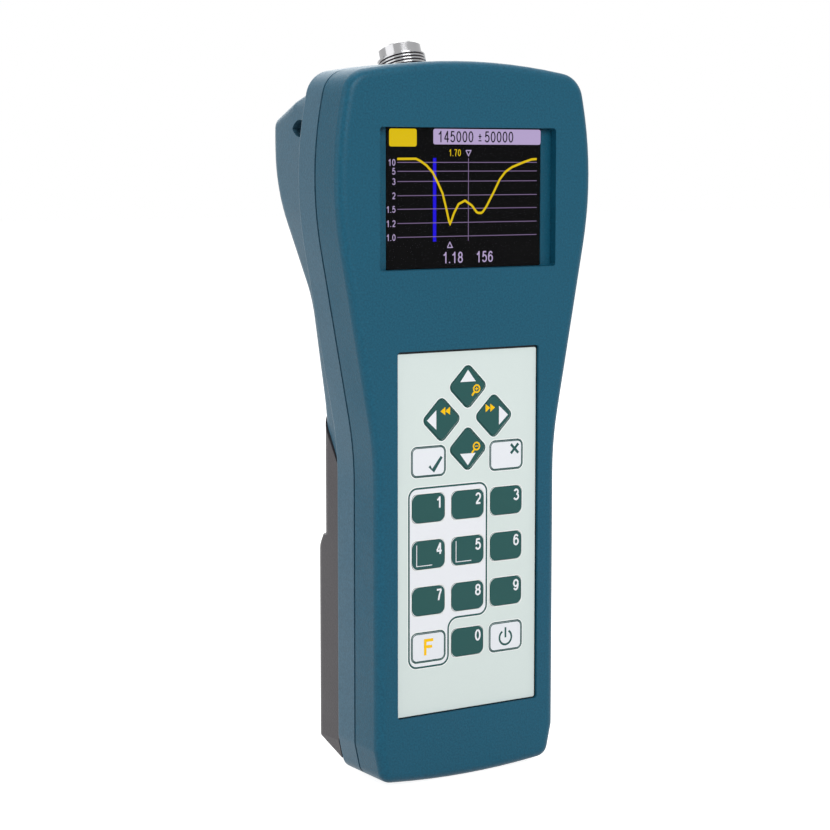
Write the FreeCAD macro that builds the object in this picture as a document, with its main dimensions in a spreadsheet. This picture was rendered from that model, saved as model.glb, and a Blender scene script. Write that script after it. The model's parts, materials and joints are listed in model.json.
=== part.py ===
import FreeCAD, Part
import Sketcher
import math
import os

from FreeCAD import Placement, Rotation, Vector

# A handheld antenna analyzer. +Z runs up its height, -Y is the face with the display and keys,
# and +X is the right-hand side seen from the front. The origin is under the middle of the case.
# A depth is counted backwards from the plane of the front face.

doc = FreeCAD.newDocument("antenna_analyzer")
sheet = doc.addObject("Spreadsheet::Sheet", "Sizes")


class Size:
    """A length that carries its number and the expression it came from."""

    def __init__(self, value, text):
        self.value = value
        self.text = text

    def combine(self, other, sign, result):
        right = other if isinstance(other, Size) else Size(float(other), repr(float(other)))
        return Size(result(self.value, right.value), f"({self.text} {sign} {right.text})")

    def __add__(self, other):
        return self.combine(other, "+", lambda a, b: a + b)

    def __sub__(self, other):
        return self.combine(other, "-", lambda a, b: a - b)

    def __mul__(self, other):
        return self.combine(other, "*", lambda a, b: a * b)

    def __truediv__(self, other):
        return self.combine(other, "/", lambda a, b: a / b)

    def __neg__(self):
        return Size(-self.value, f"(0 - {self.text})")

    def sine(self):
        return Size(math.sin(math.radians(self.value)), f"sin({self.text})")

    def cosine(self):
        return Size(math.cos(math.radians(self.value)), f"cos({self.text})")

    def tangent(self):
        return Size(math.tan(math.radians(self.value)), f"tan({self.text})")


def driving_sizes(groups):
    """Write the driving sizes into the sheet, one row each, and return them by name."""
    sizes = {}
    row = 1
    for title, entries in groups:
        sheet.set(f"A{row}", title)
        row += 1
        for name, value in entries:
            sheet.set(f"A{row}", name.replace("_", " "))
            sheet.set(f"B{row}", str(value))
            sheet.setAlias(f"B{row}", name)
            sizes[name] = Size(float(value), f"Sizes.{name}")
            row += 1
    doc.recompute()
    return sizes


# Driving sizes in millimetres and degrees
D = driving_sizes([
    ("Case", [
        ("case_height", 227.0), ("case_depth", 54.0), ("grip_half_width", 33.9),
        ("shell_wall", 2.2), ("front_edge_radius", 3.0),
        ("seam_depth", 14.3), ("seam_gap", 0.8), ("seam_inset", 1.1), ("band_depth", 25.6),
        ("band_edge_radius", 1.4)]),
    ("Case outline", [
        ("foot_apex_drop", 1.235), ("foot_radius", 290.0), ("foot_corner_half_width", 31.6),
        ("foot_corner_height", 1.68), ("foot_corner_radius", 4.4), ("foot_crease", 12.3),
        ("foot_crease_radius", 5.0), ("flare_height", 106.05), ("flare_radius", 110.0),
        ("head_apex_half_width", 49.78), ("head_apex_height", 191.78), ("head_radius", 119.0),
        ("shoulder_half_width", 43.44), ("shoulder_height", 222.9), ("shoulder_radius", 8.9),
        ("crown_apex_rise", 2.985), ("crown_radius", 226.0)]),
    ("Rear housing", [
        ("rear_grip_half_width", 33.3), ("rear_head_half_width", 43.7), ("rear_grip_depth", 36.3),
        ("rear_foot", 60.0), ("rear_flare_low", 113.0), ("rear_flare_high", 187.0),
        ("rear_flare_radius", 140.0), ("rear_shoulder_low", 213.0), ("rear_crown_half_width", 39.5),
        ("rear_crown", 219.9), ("rear_corner_radius", 5.0), ("hump_side_draft", 5.0),
        ("hump_low", 152.6), ("hump_low_radius", 24.0), ("hump_high", 188.0),
        ("hump_high_radius", 63.0),
        ("hump_edge_radius", 4.0), ("hump_core_half_width", 28.0), ("hump_wall", 2.6)]),
    ("Antenna connector", [
        ("port_tilt", 20.0), ("port_depth", 35.7), ("port_base_height", 215.85),
        ("port_length", 17.6), ("port_thread_radius", 7.94), ("port_collar_radius", 7.0),
        ("port_collar_length", 3.6), ("port_bore_radius", 4.3), ("port_bore_depth", 9.5),
        ("port_neck_radius", 7.7), ("port_nut_fit", 0.05),
        ("port_base_radius", 9.2), ("port_base_thickness", 1.6), ("port_washer_thickness", 0.8),
        ("port_nut_thickness", 3.2), ("port_nut_across_flats", 19.0), ("port_rear_length", 5.0),
        ("port_insulator_length", 6.0), ("port_insulator_radius", 3.6),
        ("port_tail_radius", 4.5), ("port_tail_bore_radius", 1.9), ("port_pin_tail", 2.0),
        ("port_pin_setback", 4.5), ("port_pin_bore_depth", 5.0),
        ("port_pin_radius", 1.5), ("port_pin_bore_radius", 0.85), ("port_fit", 0.15)]),
    ("Display", [
        ("window_width", 66.0), ("window_height", 43.9), ("window_centre_height", 184.5),
        ("window_depth", 3.0), ("window_fit", 0.25), ("lens_thickness", 1.0),
        ("screen_width", 57.8), ("screen_height", 43.3), ("screen_fit", 0.2),
        ("screen_corner_radius", 0.5),
        ("deck_depth", 4.4), ("module_border", 3.4), ("module_thickness", 3.0)]),
    ("Keypad", [
        ("pad_width", 53.4), ("pad_height", 115.7), ("pad_centre_height", 79.6),
        ("pad_corner_radius", 1.0), ("pad_fit", 0.2), ("pad_depth", 1.05), ("pad_thickness", 0.8),
        ("pad_deck_depth", 3.4), ("key_width", 12.2), ("key_height", 9.0),
        ("key_corner_radius", 1.7), ("key_edge_radius", 0.25), ("key_pitch_across", 14.78), ("key_pitch_down", 14.75),
        ("key_row_height", 87.85), ("key_proud", 0.1), ("key_fit", 0.12), ("key_flange", 0.5),
        ("key_flange_thickness", 0.6), ("key_rest_gap", 0.1), ("key_travel", 0.4),
        ("key_foot_radius", 1.5), ("key_foot_height", 0.25), ("dome_radius", 3.2),
        ("dome_crown_radius", 1.9), ("dome_height", 0.4), ("dome_gap", 0.08), ("arrow_side", 9.75),
        ("arrow_corner_radius", 1.5), ("arrow_spread", 9.9), ("arrow_centre_height", 115.5),
        ("spacer_half_spacing", 22.9), ("spacer_pitch", 50.0), ("spacer_radius", 1.3)]),
    ("Circuit boards", [
        ("keypad_board_thickness", 1.0), ("keypad_board_width", 48.4),
        ("board_depth", 10.4), ("board_thickness", 1.6), ("board_half_width", 24.0),
        ("board_foot", 4.0), ("board_top", 204.0), ("shield_width", 44.0), ("shield_height", 36.0),
        ("shield_depth", 6.0), ("shield_centre_height", 178.0), ("shield_wall", 0.4),
        ("buzzer_radius", 6.0), ("buzzer_thickness", 4.0), ("buzzer_height", 133.0)]),
    ("Data socket", [
        ("socket_width", 7.7), ("socket_thickness", 3.9), ("socket_length", 9.2),
        ("socket_wall", 0.4), ("socket_fit", 0.3), ("socket_depth", 12.0),
        ("socket_setback", 0.4)]),
    ("Batteries", [
        ("cell_radius", 7.25), ("cell_length", 49.2), ("cell_tip_radius", 2.75),
        ("cell_tip_length", 1.1), ("cell_pitch", 15.2), ("cell_depth", 31.3), ("cell_play", 0.2),
        ("bay_floor_depth", 23.7), ("bay_wall", 1.8), ("bay_low", 13.0), ("bay_wall_depth", 34.0),
        ("bay_wall_half_width", 22.6), ("bay_rim", 2.2),
        ("contact_plate_width", 11.0), ("contact_plate_thickness", 0.4), ("spring_height", 2.6),
        ("spring_radius", 4.2), ("spring_tip_radius", 2.2)]),
    ("Battery cover", [
        ("cover_half_width", 33.5), ("cover_depth", 36.4), ("cover_pod_depth", 40.4),
        ("cover_corner_radius", 5.0), ("cover_wall", 1.6), ("cover_gap", 0.15),
        ("cover_parting_depth", 25.0), ("cover_top_height", 99.8), ("cover_top_slope", 55.0),
        ("cover_top_gap", 0.7), ("cover_foot_height", 4.6), ("cover_foot_slope", 24.0),
        ("pod_top_height", 70.0), ("pod_step_rise", 6.5), ("pod_edge_radius", 2.5),
        ("cover_hollow_low", 10.5), ("pod_hollow_low", 12.8), ("pod_hollow_high", 69.3),
        ("cover_travel", 30.0)]),
    ("Strap slots", [
        ("slot_height", 5.4), ("slot_length", 11.2), ("slot_depth", 31.6),
        ("slot_centre_height", 206.2), ("slot_blind_half_width", 30.7),
        ("slot_mouth_length", 16.0), ("slot_exit_width", 6.4), ("slot_exit_height", 8.0)]),
    ("Screws", [
        ("screw_radius", 1.27), ("screw_head_radius", 2.7), ("screw_head_length", 1.8),
        ("screw_clearance", 0.25), ("boss_radius", 2.9), ("boss_bore_radius", 1.3),
        ("screw_bite", 7.0), ("upper_screw_half_spacing", 36.2), ("upper_screw_height", 183.0),
        ("lower_screw_half_spacing", 27.4), ("lower_screw_height", 86.0),
        ("screw_seat_depth", 26.0), ("board_screw_radius", 1.08), ("board_screw_bore_radius", 1.1), ("board_screw_head_radius", 2.1),
        ("board_screw_head_length", 1.3), ("board_screw_half_spacing", 21.0),
        ("board_screw_low", 15.5), ("board_screw_high", 146.0), ("board_post_radius", 2.4),
        ("board_screw_bite", 5.0), ("screw_tip_room", 1.0), ("lip_length", 2.0), ("lip_fit", 0.15),
        ("lip_thickness", 1.2)]),
])
FRONT = -(D["case_depth"] / 2)


def at_depth(depth):
    """The Y of a point this far behind the front face."""
    return FRONT + depth


# Sketches and features
def new_body(label):
    body = doc.addObject("PartDesign::Body", label)
    body.Label = label
    return body


def new_sketch(body, name, role, offset):
    """A sketch on one of the body's own origin planes, moved along that plane's normal."""
    sketch = body.newObject("Sketcher::SketchObject", f"{body.Name}_{name}")
    plane = [item for item in body.Origin.OriginFeatures if item.Role == role][0]
    sketch.AttachmentSupport = [(plane, "")]
    sketch.MapMode = "FlatFace"
    sketch.AttachmentOffset = Placement(Vector(0, 0, offset.value), Rotation())
    sketch.setExpression("AttachmentOffset.Base.z", offset.text)
    return sketch


def face_sketch(body, name, depth):
    """A sketch seen from the front, across X and up Z, at a depth behind the front face."""
    return new_sketch(body, name, "XZ_Plane", -at_depth(depth))


def side_sketch(body, name, across=Size(0.0, "0")):
    """A sketch seen from the side, across Y and up Z, at a place along X."""
    return new_sketch(body, name, "YZ_Plane", across)


def level_sketch(body, name, height):
    """A sketch seen from above, across X and Y, at a height."""
    return new_sketch(body, name, "XY_Plane", height)


def pin_point(sketch, geometry, position, across, up):
    """Hold one point of a sketch at two sizes from the sketch's origin."""
    for kind, size in (("DistanceX", across), ("DistanceY", up)):
        index = sketch.addConstraint(Sketcher.Constraint(kind, geometry, position, size.value))
        sketch.setExpression(f"Constraints[{index}]", size.text)


def flat(point):
    return Vector(point[0].value, point[1].value, 0)


def draw_loop(sketch, points, bulges=None):
    """A closed loop of lines through points; bulges[i] makes side i an arc with that radius.

    A positive radius bends the side outwards of a loop that runs anticlockwise.
    """
    bulges = bulges or {}
    count = len(points)
    base = sketch.GeometryCount
    for index in range(count):
        start = flat(points[index])
        end = flat(points[(index + 1) % count])
        if index not in bulges:
            sketch.addGeometry(Part.LineSegment(start, end), False)
            continue
        radius = bulges[index].value
        half = (end - start) * 0.5
        away = Vector(half.y, -half.x, 0).normalize() * (1 if radius > 0 else -1)
        drop = math.sqrt(radius * radius - half.Length * half.Length)
        middle = start + half + away * (abs(radius) - drop)
        sketch.addGeometry(Part.Arc(start, middle, end), False)
    for index in range(count):
        following = (index + 1) % count
        start_of_next = 2 if following in bulges and bulges[following].value < 0 else 1
        end_of_this = 1 if index in bulges and bulges[index].value < 0 else 2
        link = Sketcher.Constraint("Coincident", base + index, end_of_this,
                                   base + following, start_of_next)
        sketch.addConstraint(link)
        pin_point(sketch, base + following, start_of_next, *points[following])
    for index, bulge in bulges.items():
        size = bulge if bulge.value > 0 else -bulge
        number = sketch.addConstraint(Sketcher.Constraint("Radius", base + index, size.value))
        sketch.setExpression(f"Constraints[{number}]", size.text)


def draw_box(sketch, left, low, right, high):
    draw_loop(sketch, [(left, low), (right, low), (right, high), (left, high)])


def draw_circle(sketch, across, up, radius):
    centre = Vector(across.value, up.value, 0)
    number = sketch.addGeometry(Part.Circle(centre, Vector(0, 0, 1), radius.value), False)
    pin_point(sketch, number, 3, across, up)
    index = sketch.addConstraint(Sketcher.Constraint("Radius", number, radius.value))
    sketch.setExpression(f"Constraints[{index}]", radius.text)


def pad(body, sketch, length, backwards=False, both=False, draft=None):
    feature = body.newObject("PartDesign::Pad", f"{sketch.Name}_pad")
    feature.Profile = sketch
    feature.setExpression("Length", length.text)
    feature.Length = length.value
    feature.Reversed = backwards
    if both:
        feature.Midplane = True
    if draft is not None:
        feature.TaperAngle = draft.value
        feature.setExpression("TaperAngle", draft.text)
    sketch.Visibility = False
    doc.recompute()
    return feature


def pocket(body, sketch, length, backwards=False, both=False):
    """A cut that must take material away: a pocket that points off the solid is an error."""
    before = body.Shape.Volume
    feature = body.newObject("PartDesign::Pocket", f"{sketch.Name}_pocket")
    feature.Profile = sketch
    feature.setExpression("Length", length.text)
    feature.Length = length.value
    feature.Reversed = backwards
    if both:
        feature.Midplane = True
    sketch.Visibility = False
    doc.recompute()
    if not body.Shape.Volume < before - 1e-6:
        raise RuntimeError(f"{feature.Name} cuts nothing")
    return feature


def soften(body, name, kind, size, choose):
    """Fillet or chamfer the edges of the body's last feature that choose() picks."""
    base = body.Tip
    names = [f"Edge{i + 1}" for i, edge in enumerate(base.Shape.Edges) if choose(edge)]
    if not names:
        raise RuntimeError(f"{body.Name} {name}: no edge to work on")
    feature = body.newObject(f"PartDesign::{kind}", f"{body.Name}_{name}")
    feature.Base = (base, names)
    prop = "Radius" if kind == "Fillet" else "Size"
    setattr(feature, prop, size.value)
    feature.setExpression(prop, size.text)
    doc.recompute()
    return feature


def near(value, target, tolerance=0.02):
    return abs(value - target) < tolerance


def lies_at(edge, axis, place):
    """Whether an edge lies in the plane where one coordinate has this value."""
    box = edge.BoundBox
    low = getattr(box, f"{axis}Min")
    high = getattr(box, f"{axis}Max")
    return near(low, place) and near(high, place)


def mirrored(half):
    """A loop's right half, from the bottom up, and its mirror image back down the left."""
    return half + [(-across, up) for across, up in reversed(half)]


def tangent_corner(before, corner, after, radius):
    """The two tangent points and the middle of the arc that rounds a corner."""
    back = (before - corner).normalize()
    ahead = (after - corner).normalize()
    half = back.getAngle(ahead) / 2.0
    reach = radius / math.tan(half)
    bisector = (back + ahead).normalize()
    centre = corner + bisector * (radius / math.sin(half))
    return corner + back * reach, centre - bisector * radius, corner + ahead * reach


def draw_smooth_loop(sketch, corners, radii):
    """A closed loop of lines through pinned corners, each rounded by a tangent arc or left sharp."""
    count = len(corners)
    spots = [flat(corner) for corner in corners]
    arcs = []
    for i in range(count):
        if radii[i] is None:
            arcs.append((spots[i], None, spots[i]))
            continue
        arcs.append(tangent_corner(spots[i - 1], spots[i], spots[(i + 1) % count], radii[i].value))
    lines = []
    for i in range(count):
        segment = Part.LineSegment(arcs[i][2], arcs[(i + 1) % count][0])
        lines.append(sketch.addGeometry(segment, False))
    for i in range(count):
        start, middle, end = arcs[i]
        before = lines[i - 1]
        after = lines[i]
        if middle is None:
            sketch.addConstraint(Sketcher.Constraint("Coincident", before, 2, after, 1))
            pin_point(sketch, after, 1, *corners[i])
            continue
        arc = sketch.addGeometry(Part.Arc(start, middle, end), False)
        pin = sketch.addGeometry(Part.Point(spots[i]), True)
        pin_point(sketch, pin, 1, *corners[i])
        turn = (spots[i] - spots[i - 1]).cross(spots[(i + 1) % count] - spots[i]).z
        first, last = (1, 2) if turn > 0 else (2, 1)
        sketch.addConstraint(Sketcher.Constraint("PointOnObject", pin, 1, before))
        sketch.addConstraint(Sketcher.Constraint("PointOnObject", pin, 1, after))
        sketch.addConstraint(Sketcher.Constraint("Tangent", before, 2, arc, first))
        sketch.addConstraint(Sketcher.Constraint("Tangent", arc, last, after, 1))
        number = sketch.addConstraint(Sketcher.Constraint("Radius", arc, radii[i].value))
        sketch.setExpression(f"Constraints[{number}]", radii[i].text)


# Outline of the case seen from the front
def outline_shift(corners, index):
    """How far a corner moves, across and up, when the whole outline moves inwards by one."""
    spots = [flat(corner) for corner in corners]
    before = (spots[index] - spots[index - 1]).normalize()
    after = (spots[(index + 1) % len(spots)] - spots[index]).normalize()
    inwards = [Vector(-side.y, side.x, 0) for side in (before, after)]
    return (inwards[0] + inwards[1]) * (1.0 / (1.0 + inwards[0].dot(inwards[1])))


def draw_case_outline(sketch, inset=Size(0.0, "0")):
    """The case's outline; an inset moves it inwards by that much."""
    right = [
        (D["foot_corner_half_width"], D["foot_corner_height"]),
        (D["grip_half_width"], D["foot_crease"]),
        (D["grip_half_width"], D["flare_height"]),
        (D["head_apex_half_width"], D["head_apex_height"]),
        (D["shoulder_half_width"], D["shoulder_height"]),
    ]
    radii = [D["foot_corner_radius"] - inset, D["foot_crease_radius"] - inset,
             D["flare_radius"] + inset, D["head_radius"] - inset, D["shoulder_radius"] - inset]
    left = [(-across, up) for across, up in reversed(right)]
    foot = (Size(0.0, "0"), -D["foot_apex_drop"])
    crown = (Size(0.0, "0"), D["case_height"] + D["crown_apex_rise"])
    corners = [foot] + right + [crown] + left
    moved = []
    for index, (across, up) in enumerate(corners):
        shift = outline_shift(corners, index)
        moved.append((across + inset * shift.x, up + inset * shift.y))
    around = ([D["foot_radius"] - inset] + radii + [D["crown_radius"] - inset]
              + list(reversed(radii)))
    draw_smooth_loop(sketch, moved, around)


def draw_rounded(sketch, across, up, width, height, radius, turned=False):
    """A rounded rectangle about a point; turned stands it on a corner."""
    right = width / 2.0
    top = height / 2.0
    corners = [
        (right - radius, -top), (right, radius - top), (right, top - radius), (right - radius, top),
        (radius - right, top), (-right, top - radius), (-right, radius - top), (radius - right, -top),
    ]
    if turned:
        corners = [((x - y) / SQUARE_DIAGONAL, (x + y) / SQUARE_DIAGONAL) for x, y in corners]
    points = [(across + x, up + y) for x, y in corners]
    draw_loop(sketch, points, {0: radius, 2: radius, 4: radius, 6: radius})


SQUARE_DIAGONAL = math.sqrt(2.0)
NONE = Size(0.0, "0")


# Keys
def key_places():
    """Name, centre across, centre height and whether the key is an arrow, for all keys."""
    step = D["key_pitch_across"]
    middle = D["arrow_centre_height"]
    reach = D["arrow_spread"]
    places = [
        ("key_up", NONE, middle + reach, True), ("key_left", -reach, middle, True),
        ("key_right", reach, middle, True), ("key_down", NONE, middle - reach, True),
        ("key_ok", -step, D["key_row_height"] + D["key_pitch_down"], False),
        ("key_cancel", step, D["key_row_height"] + D["key_pitch_down"], False),
    ]
    rows = [("key_1", "key_2", "key_3"), ("key_4", "key_5", "key_6"), ("key_7", "key_8", "key_9"),
            ("key_f", "key_0", "key_power")]
    for row, names in enumerate(rows):
        for column, name in enumerate(names):
            across = step * float(column - 1)
            up = D["key_row_height"] - D["key_pitch_down"] * float(row)
            places.append((name, across, up, False))
    return places


def draw_key(sketch, across, up, arrow, margin):
    """The outline of one key, grown by a margin."""
    growth = margin * 2.0
    if arrow:
        side = D["arrow_side"] + growth
        draw_rounded(sketch, across, up, side, side, D["arrow_corner_radius"] + margin, True)
    else:
        radius = D["key_corner_radius"] + margin
        draw_rounded(sketch, across, up, D["key_width"] + growth, D["key_height"] + growth, radius)


def cut_key_windows(body, depth, length):
    """Cut the opening of every key, from a depth backwards."""
    for name, across, up, arrow in key_places():
        sketch = face_sketch(body, f"{name}_window", depth)
        draw_key(sketch, across, up, arrow, D["key_fit"])
        pocket(body, sketch, length)


def key_stack():
    """Depths of the layers behind a key, from its face to the keypad board."""
    face = D["pad_depth"] - D["key_proud"]
    flange = D["pad_deck_depth"] + D["key_rest_gap"]
    foot = flange + D["key_flange_thickness"]
    dome = foot + D["key_foot_height"] + D["key_travel"] + D["dome_gap"]
    return {"face": face, "flange": flange, "foot": foot, "dome": dome,
            "board": dome + D["dome_height"]}


STACK = key_stack()


def make_key(name, across, up, arrow):
    """A key cap that stands in its window, with a flange that holds it in and a foot on its dome."""
    body = new_body(name)
    cap = face_sketch(body, "cap", STACK["face"])
    draw_key(cap, across, up, arrow, NONE)
    pad(body, cap, STACK["foot"] - STACK["face"], backwards=True)
    front = at_depth(STACK["face"]).value
    soften(body, "edge", "Fillet", D["key_edge_radius"], lambda edge: lies_at(edge, "Y", front))
    flange = face_sketch(body, "flange", STACK["flange"])
    draw_key(flange, across, up, arrow, D["key_flange"])
    pad(body, flange, D["key_flange_thickness"], backwards=True)
    foot = face_sketch(body, "foot", STACK["foot"])
    draw_circle(foot, across, up, D["key_foot_radius"])
    pad(body, foot, D["key_foot_height"], backwards=True)


# Keypad overlay, domes and keypad board
def make_keypad():
    body = new_body("keypad_overlay")
    outline = face_sketch(body, "outline", D["pad_depth"])
    fit = D["pad_fit"] * 2.0
    draw_rounded(outline, NONE, D["pad_centre_height"], D["pad_width"] - fit,
                 D["pad_height"] - fit, D["pad_corner_radius"])
    pad(body, outline, D["pad_thickness"], backwards=True)
    cut_key_windows(body, D["pad_depth"], D["pad_thickness"])

    board = new_body("keypad_board")
    edge = face_sketch(board, "outline", STACK["board"])
    draw_rounded(edge, NONE, D["pad_centre_height"], D["keypad_board_width"],
                 D["pad_height"], D["pad_corner_radius"])
    pad(board, edge, D["keypad_board_thickness"], backwards=True)

    domes = []
    for name, across, up, arrow in key_places():
        base = Vector(across.value, at_depth(STACK["board"]).value, up.value)
        domes.append(Part.makeCone(value("dome_radius"), value("dome_crown_radius"), value("dome_height"),
                                   base, Vector(0, -1, 0)))
    plain_feature("key_domes", Part.makeCompound(domes))


def plain_feature(label, shape):
    """A piece whose solids come straight from the sheet's sizes."""
    feature = doc.addObject("Part::Feature", label)
    feature.Label = label
    feature.Shape = shape
    return feature


# Front shell
def screw_places():
    """The four case screws: across, height, and the depth where the head seats."""
    places = []
    for side in (-1.0, 1.0):
        places.append((D["upper_screw_half_spacing"] * side, D["upper_screw_height"],
                       D["screw_seat_depth"]))
        places.append((D["lower_screw_half_spacing"] * side, D["lower_screw_height"],
                       D["bay_floor_depth"]))
    return places


def board_screw_places():
    return [(D["board_screw_half_spacing"] * side, height) for side in (-1.0, 1.0)
            for height in (D["board_screw_low"], D["board_screw_high"])]


def draw_circles(sketch, places, radius):
    for place in places:
        draw_circle(sketch, place[0], place[1], radius)


def make_front_shell():
    body = new_body("front_shell")
    rim = D["seam_depth"] - D["seam_gap"] / 2.0
    outline = face_sketch(body, "outline", NONE)
    draw_case_outline(outline)
    pad(body, outline, rim, backwards=True)
    front = at_depth(NONE).value
    soften(body, "edge", "Fillet", D["front_edge_radius"], lambda edge: lies_at(edge, "Y", front))

    hollow = face_sketch(body, "hollow", rim)
    draw_case_outline(hollow, D["shell_wall"])
    pocket(body, hollow, rim - D["shell_wall"], backwards=True)

    deck = face_sketch(body, "keypad_deck", D["shell_wall"])
    margin = D["shell_wall"] * 2.0
    draw_rounded(deck, NONE, D["pad_centre_height"], D["pad_width"] + margin,
                 D["pad_height"] + margin, D["pad_corner_radius"])
    pad(body, deck, D["pad_deck_depth"] - D["shell_wall"], backwards=True)
    frame = face_sketch(body, "window_deck", D["shell_wall"])
    draw_rounded(frame, NONE, D["window_centre_height"], D["window_width"] + margin,
                 D["window_height"] + margin, D["pad_corner_radius"])
    pad(body, frame, D["deck_depth"] - D["shell_wall"], backwards=True)

    bosses = face_sketch(body, "bosses", D["shell_wall"])
    draw_circles(bosses, screw_places(), D["boss_radius"])
    pad(body, bosses, rim - D["shell_wall"], backwards=True)
    posts = face_sketch(body, "board_posts", D["shell_wall"])
    draw_circles(posts, board_screw_places(), D["board_post_radius"])
    pad(body, posts, D["board_depth"] - D["shell_wall"], backwards=True)
    spacers = face_sketch(body, "keypad_spacers", D["pad_deck_depth"])
    for side in (-1.0, 1.0):
        for step in (-1.0, 0.0, 1.0):
            draw_circle(spacers, D["spacer_half_spacing"] * side,
                        D["pad_centre_height"] + D["spacer_pitch"] * step, D["spacer_radius"])
    pad(body, spacers, STACK["board"] - D["pad_deck_depth"], backwards=True)

    recess = face_sketch(body, "keypad_recess", NONE)
    draw_rounded(recess, NONE, D["pad_centre_height"], D["pad_width"], D["pad_height"],
                 D["pad_corner_radius"])
    pocket(body, recess, D["pad_depth"] + D["pad_thickness"])
    window = face_sketch(body, "window_recess", NONE)
    draw_rounded(window, NONE, D["window_centre_height"], D["window_width"], D["window_height"],
                 D["pad_corner_radius"])
    pocket(body, window, D["window_depth"])
    opening = face_sketch(body, "screen_opening", NONE)
    fit = D["screen_fit"] * 2.0
    wide = (D["screen_width"] + fit) / 2.0
    tall = (D["screen_height"] + fit) / 2.0
    draw_box(opening, -wide, D["window_centre_height"] - tall, wide, D["window_centre_height"] + tall)
    pocket(body, opening, D["deck_depth"] + D["shell_wall"])
    cut_key_windows(body, D["pad_depth"], D["pad_deck_depth"])

    bores = face_sketch(body, "screw_bores", rim)
    draw_circles(bores, screw_places(), D["boss_bore_radius"])
    pocket(body, bores, D["screw_bite"] + D["screw_tip_room"], backwards=True)
    small = face_sketch(body, "board_screw_bores", D["board_depth"])
    draw_circles(small, board_screw_places(), D["board_screw_bore_radius"])
    pocket(body, small, D["board_screw_bite"] + D["screw_tip_room"], backwards=True)
    cut_socket_opening(body, D["socket_depth"] - D["socket_fit"], rim)
    return body


def cut_socket_opening(body, start, end):
    """The notch for the data socket in one shell's foot, between two depths."""
    notch = face_sketch(body, "socket_notch", start)
    half = D["socket_width"] / 2.0 + D["socket_fit"]
    draw_box(notch, -half, NONE - D["shell_wall"], half, D["shell_wall"] * 2.0)
    pocket(body, notch, end - start)


def make_display():
    lens = new_body("display_window")
    face = face_sketch(lens, "outline", D["window_depth"] - D["lens_thickness"])
    fit = D["window_fit"] * 2.0
    draw_rounded(face, NONE, D["window_centre_height"], D["window_width"] - fit,
                 D["window_height"] - fit, D["pad_corner_radius"])
    pad(lens, face, D["lens_thickness"], backwards=True)

    panel = new_body("lcd_panel")
    glass = face_sketch(panel, "glass", D["window_depth"])
    draw_rounded(glass, NONE, D["window_centre_height"], D["screen_width"], D["screen_height"],
                 D["screen_corner_radius"])
    pad(panel, glass, D["deck_depth"] - D["window_depth"], backwards=True)
    back = face_sketch(panel, "module", D["deck_depth"])
    border = D["module_border"] * 2.0
    draw_rounded(back, NONE, D["window_centre_height"], D["screen_width"] + border,
                 D["screen_height"] + border, D["pad_corner_radius"])
    pad(panel, back, D["module_thickness"], backwards=True)


# Rear shell
def tangent_arc_radius(rise, run):
    """Radius of an arc that starts along the run and ends this far to its side."""
    return (rise * rise + run * run) / (rise * 2.0)


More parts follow.
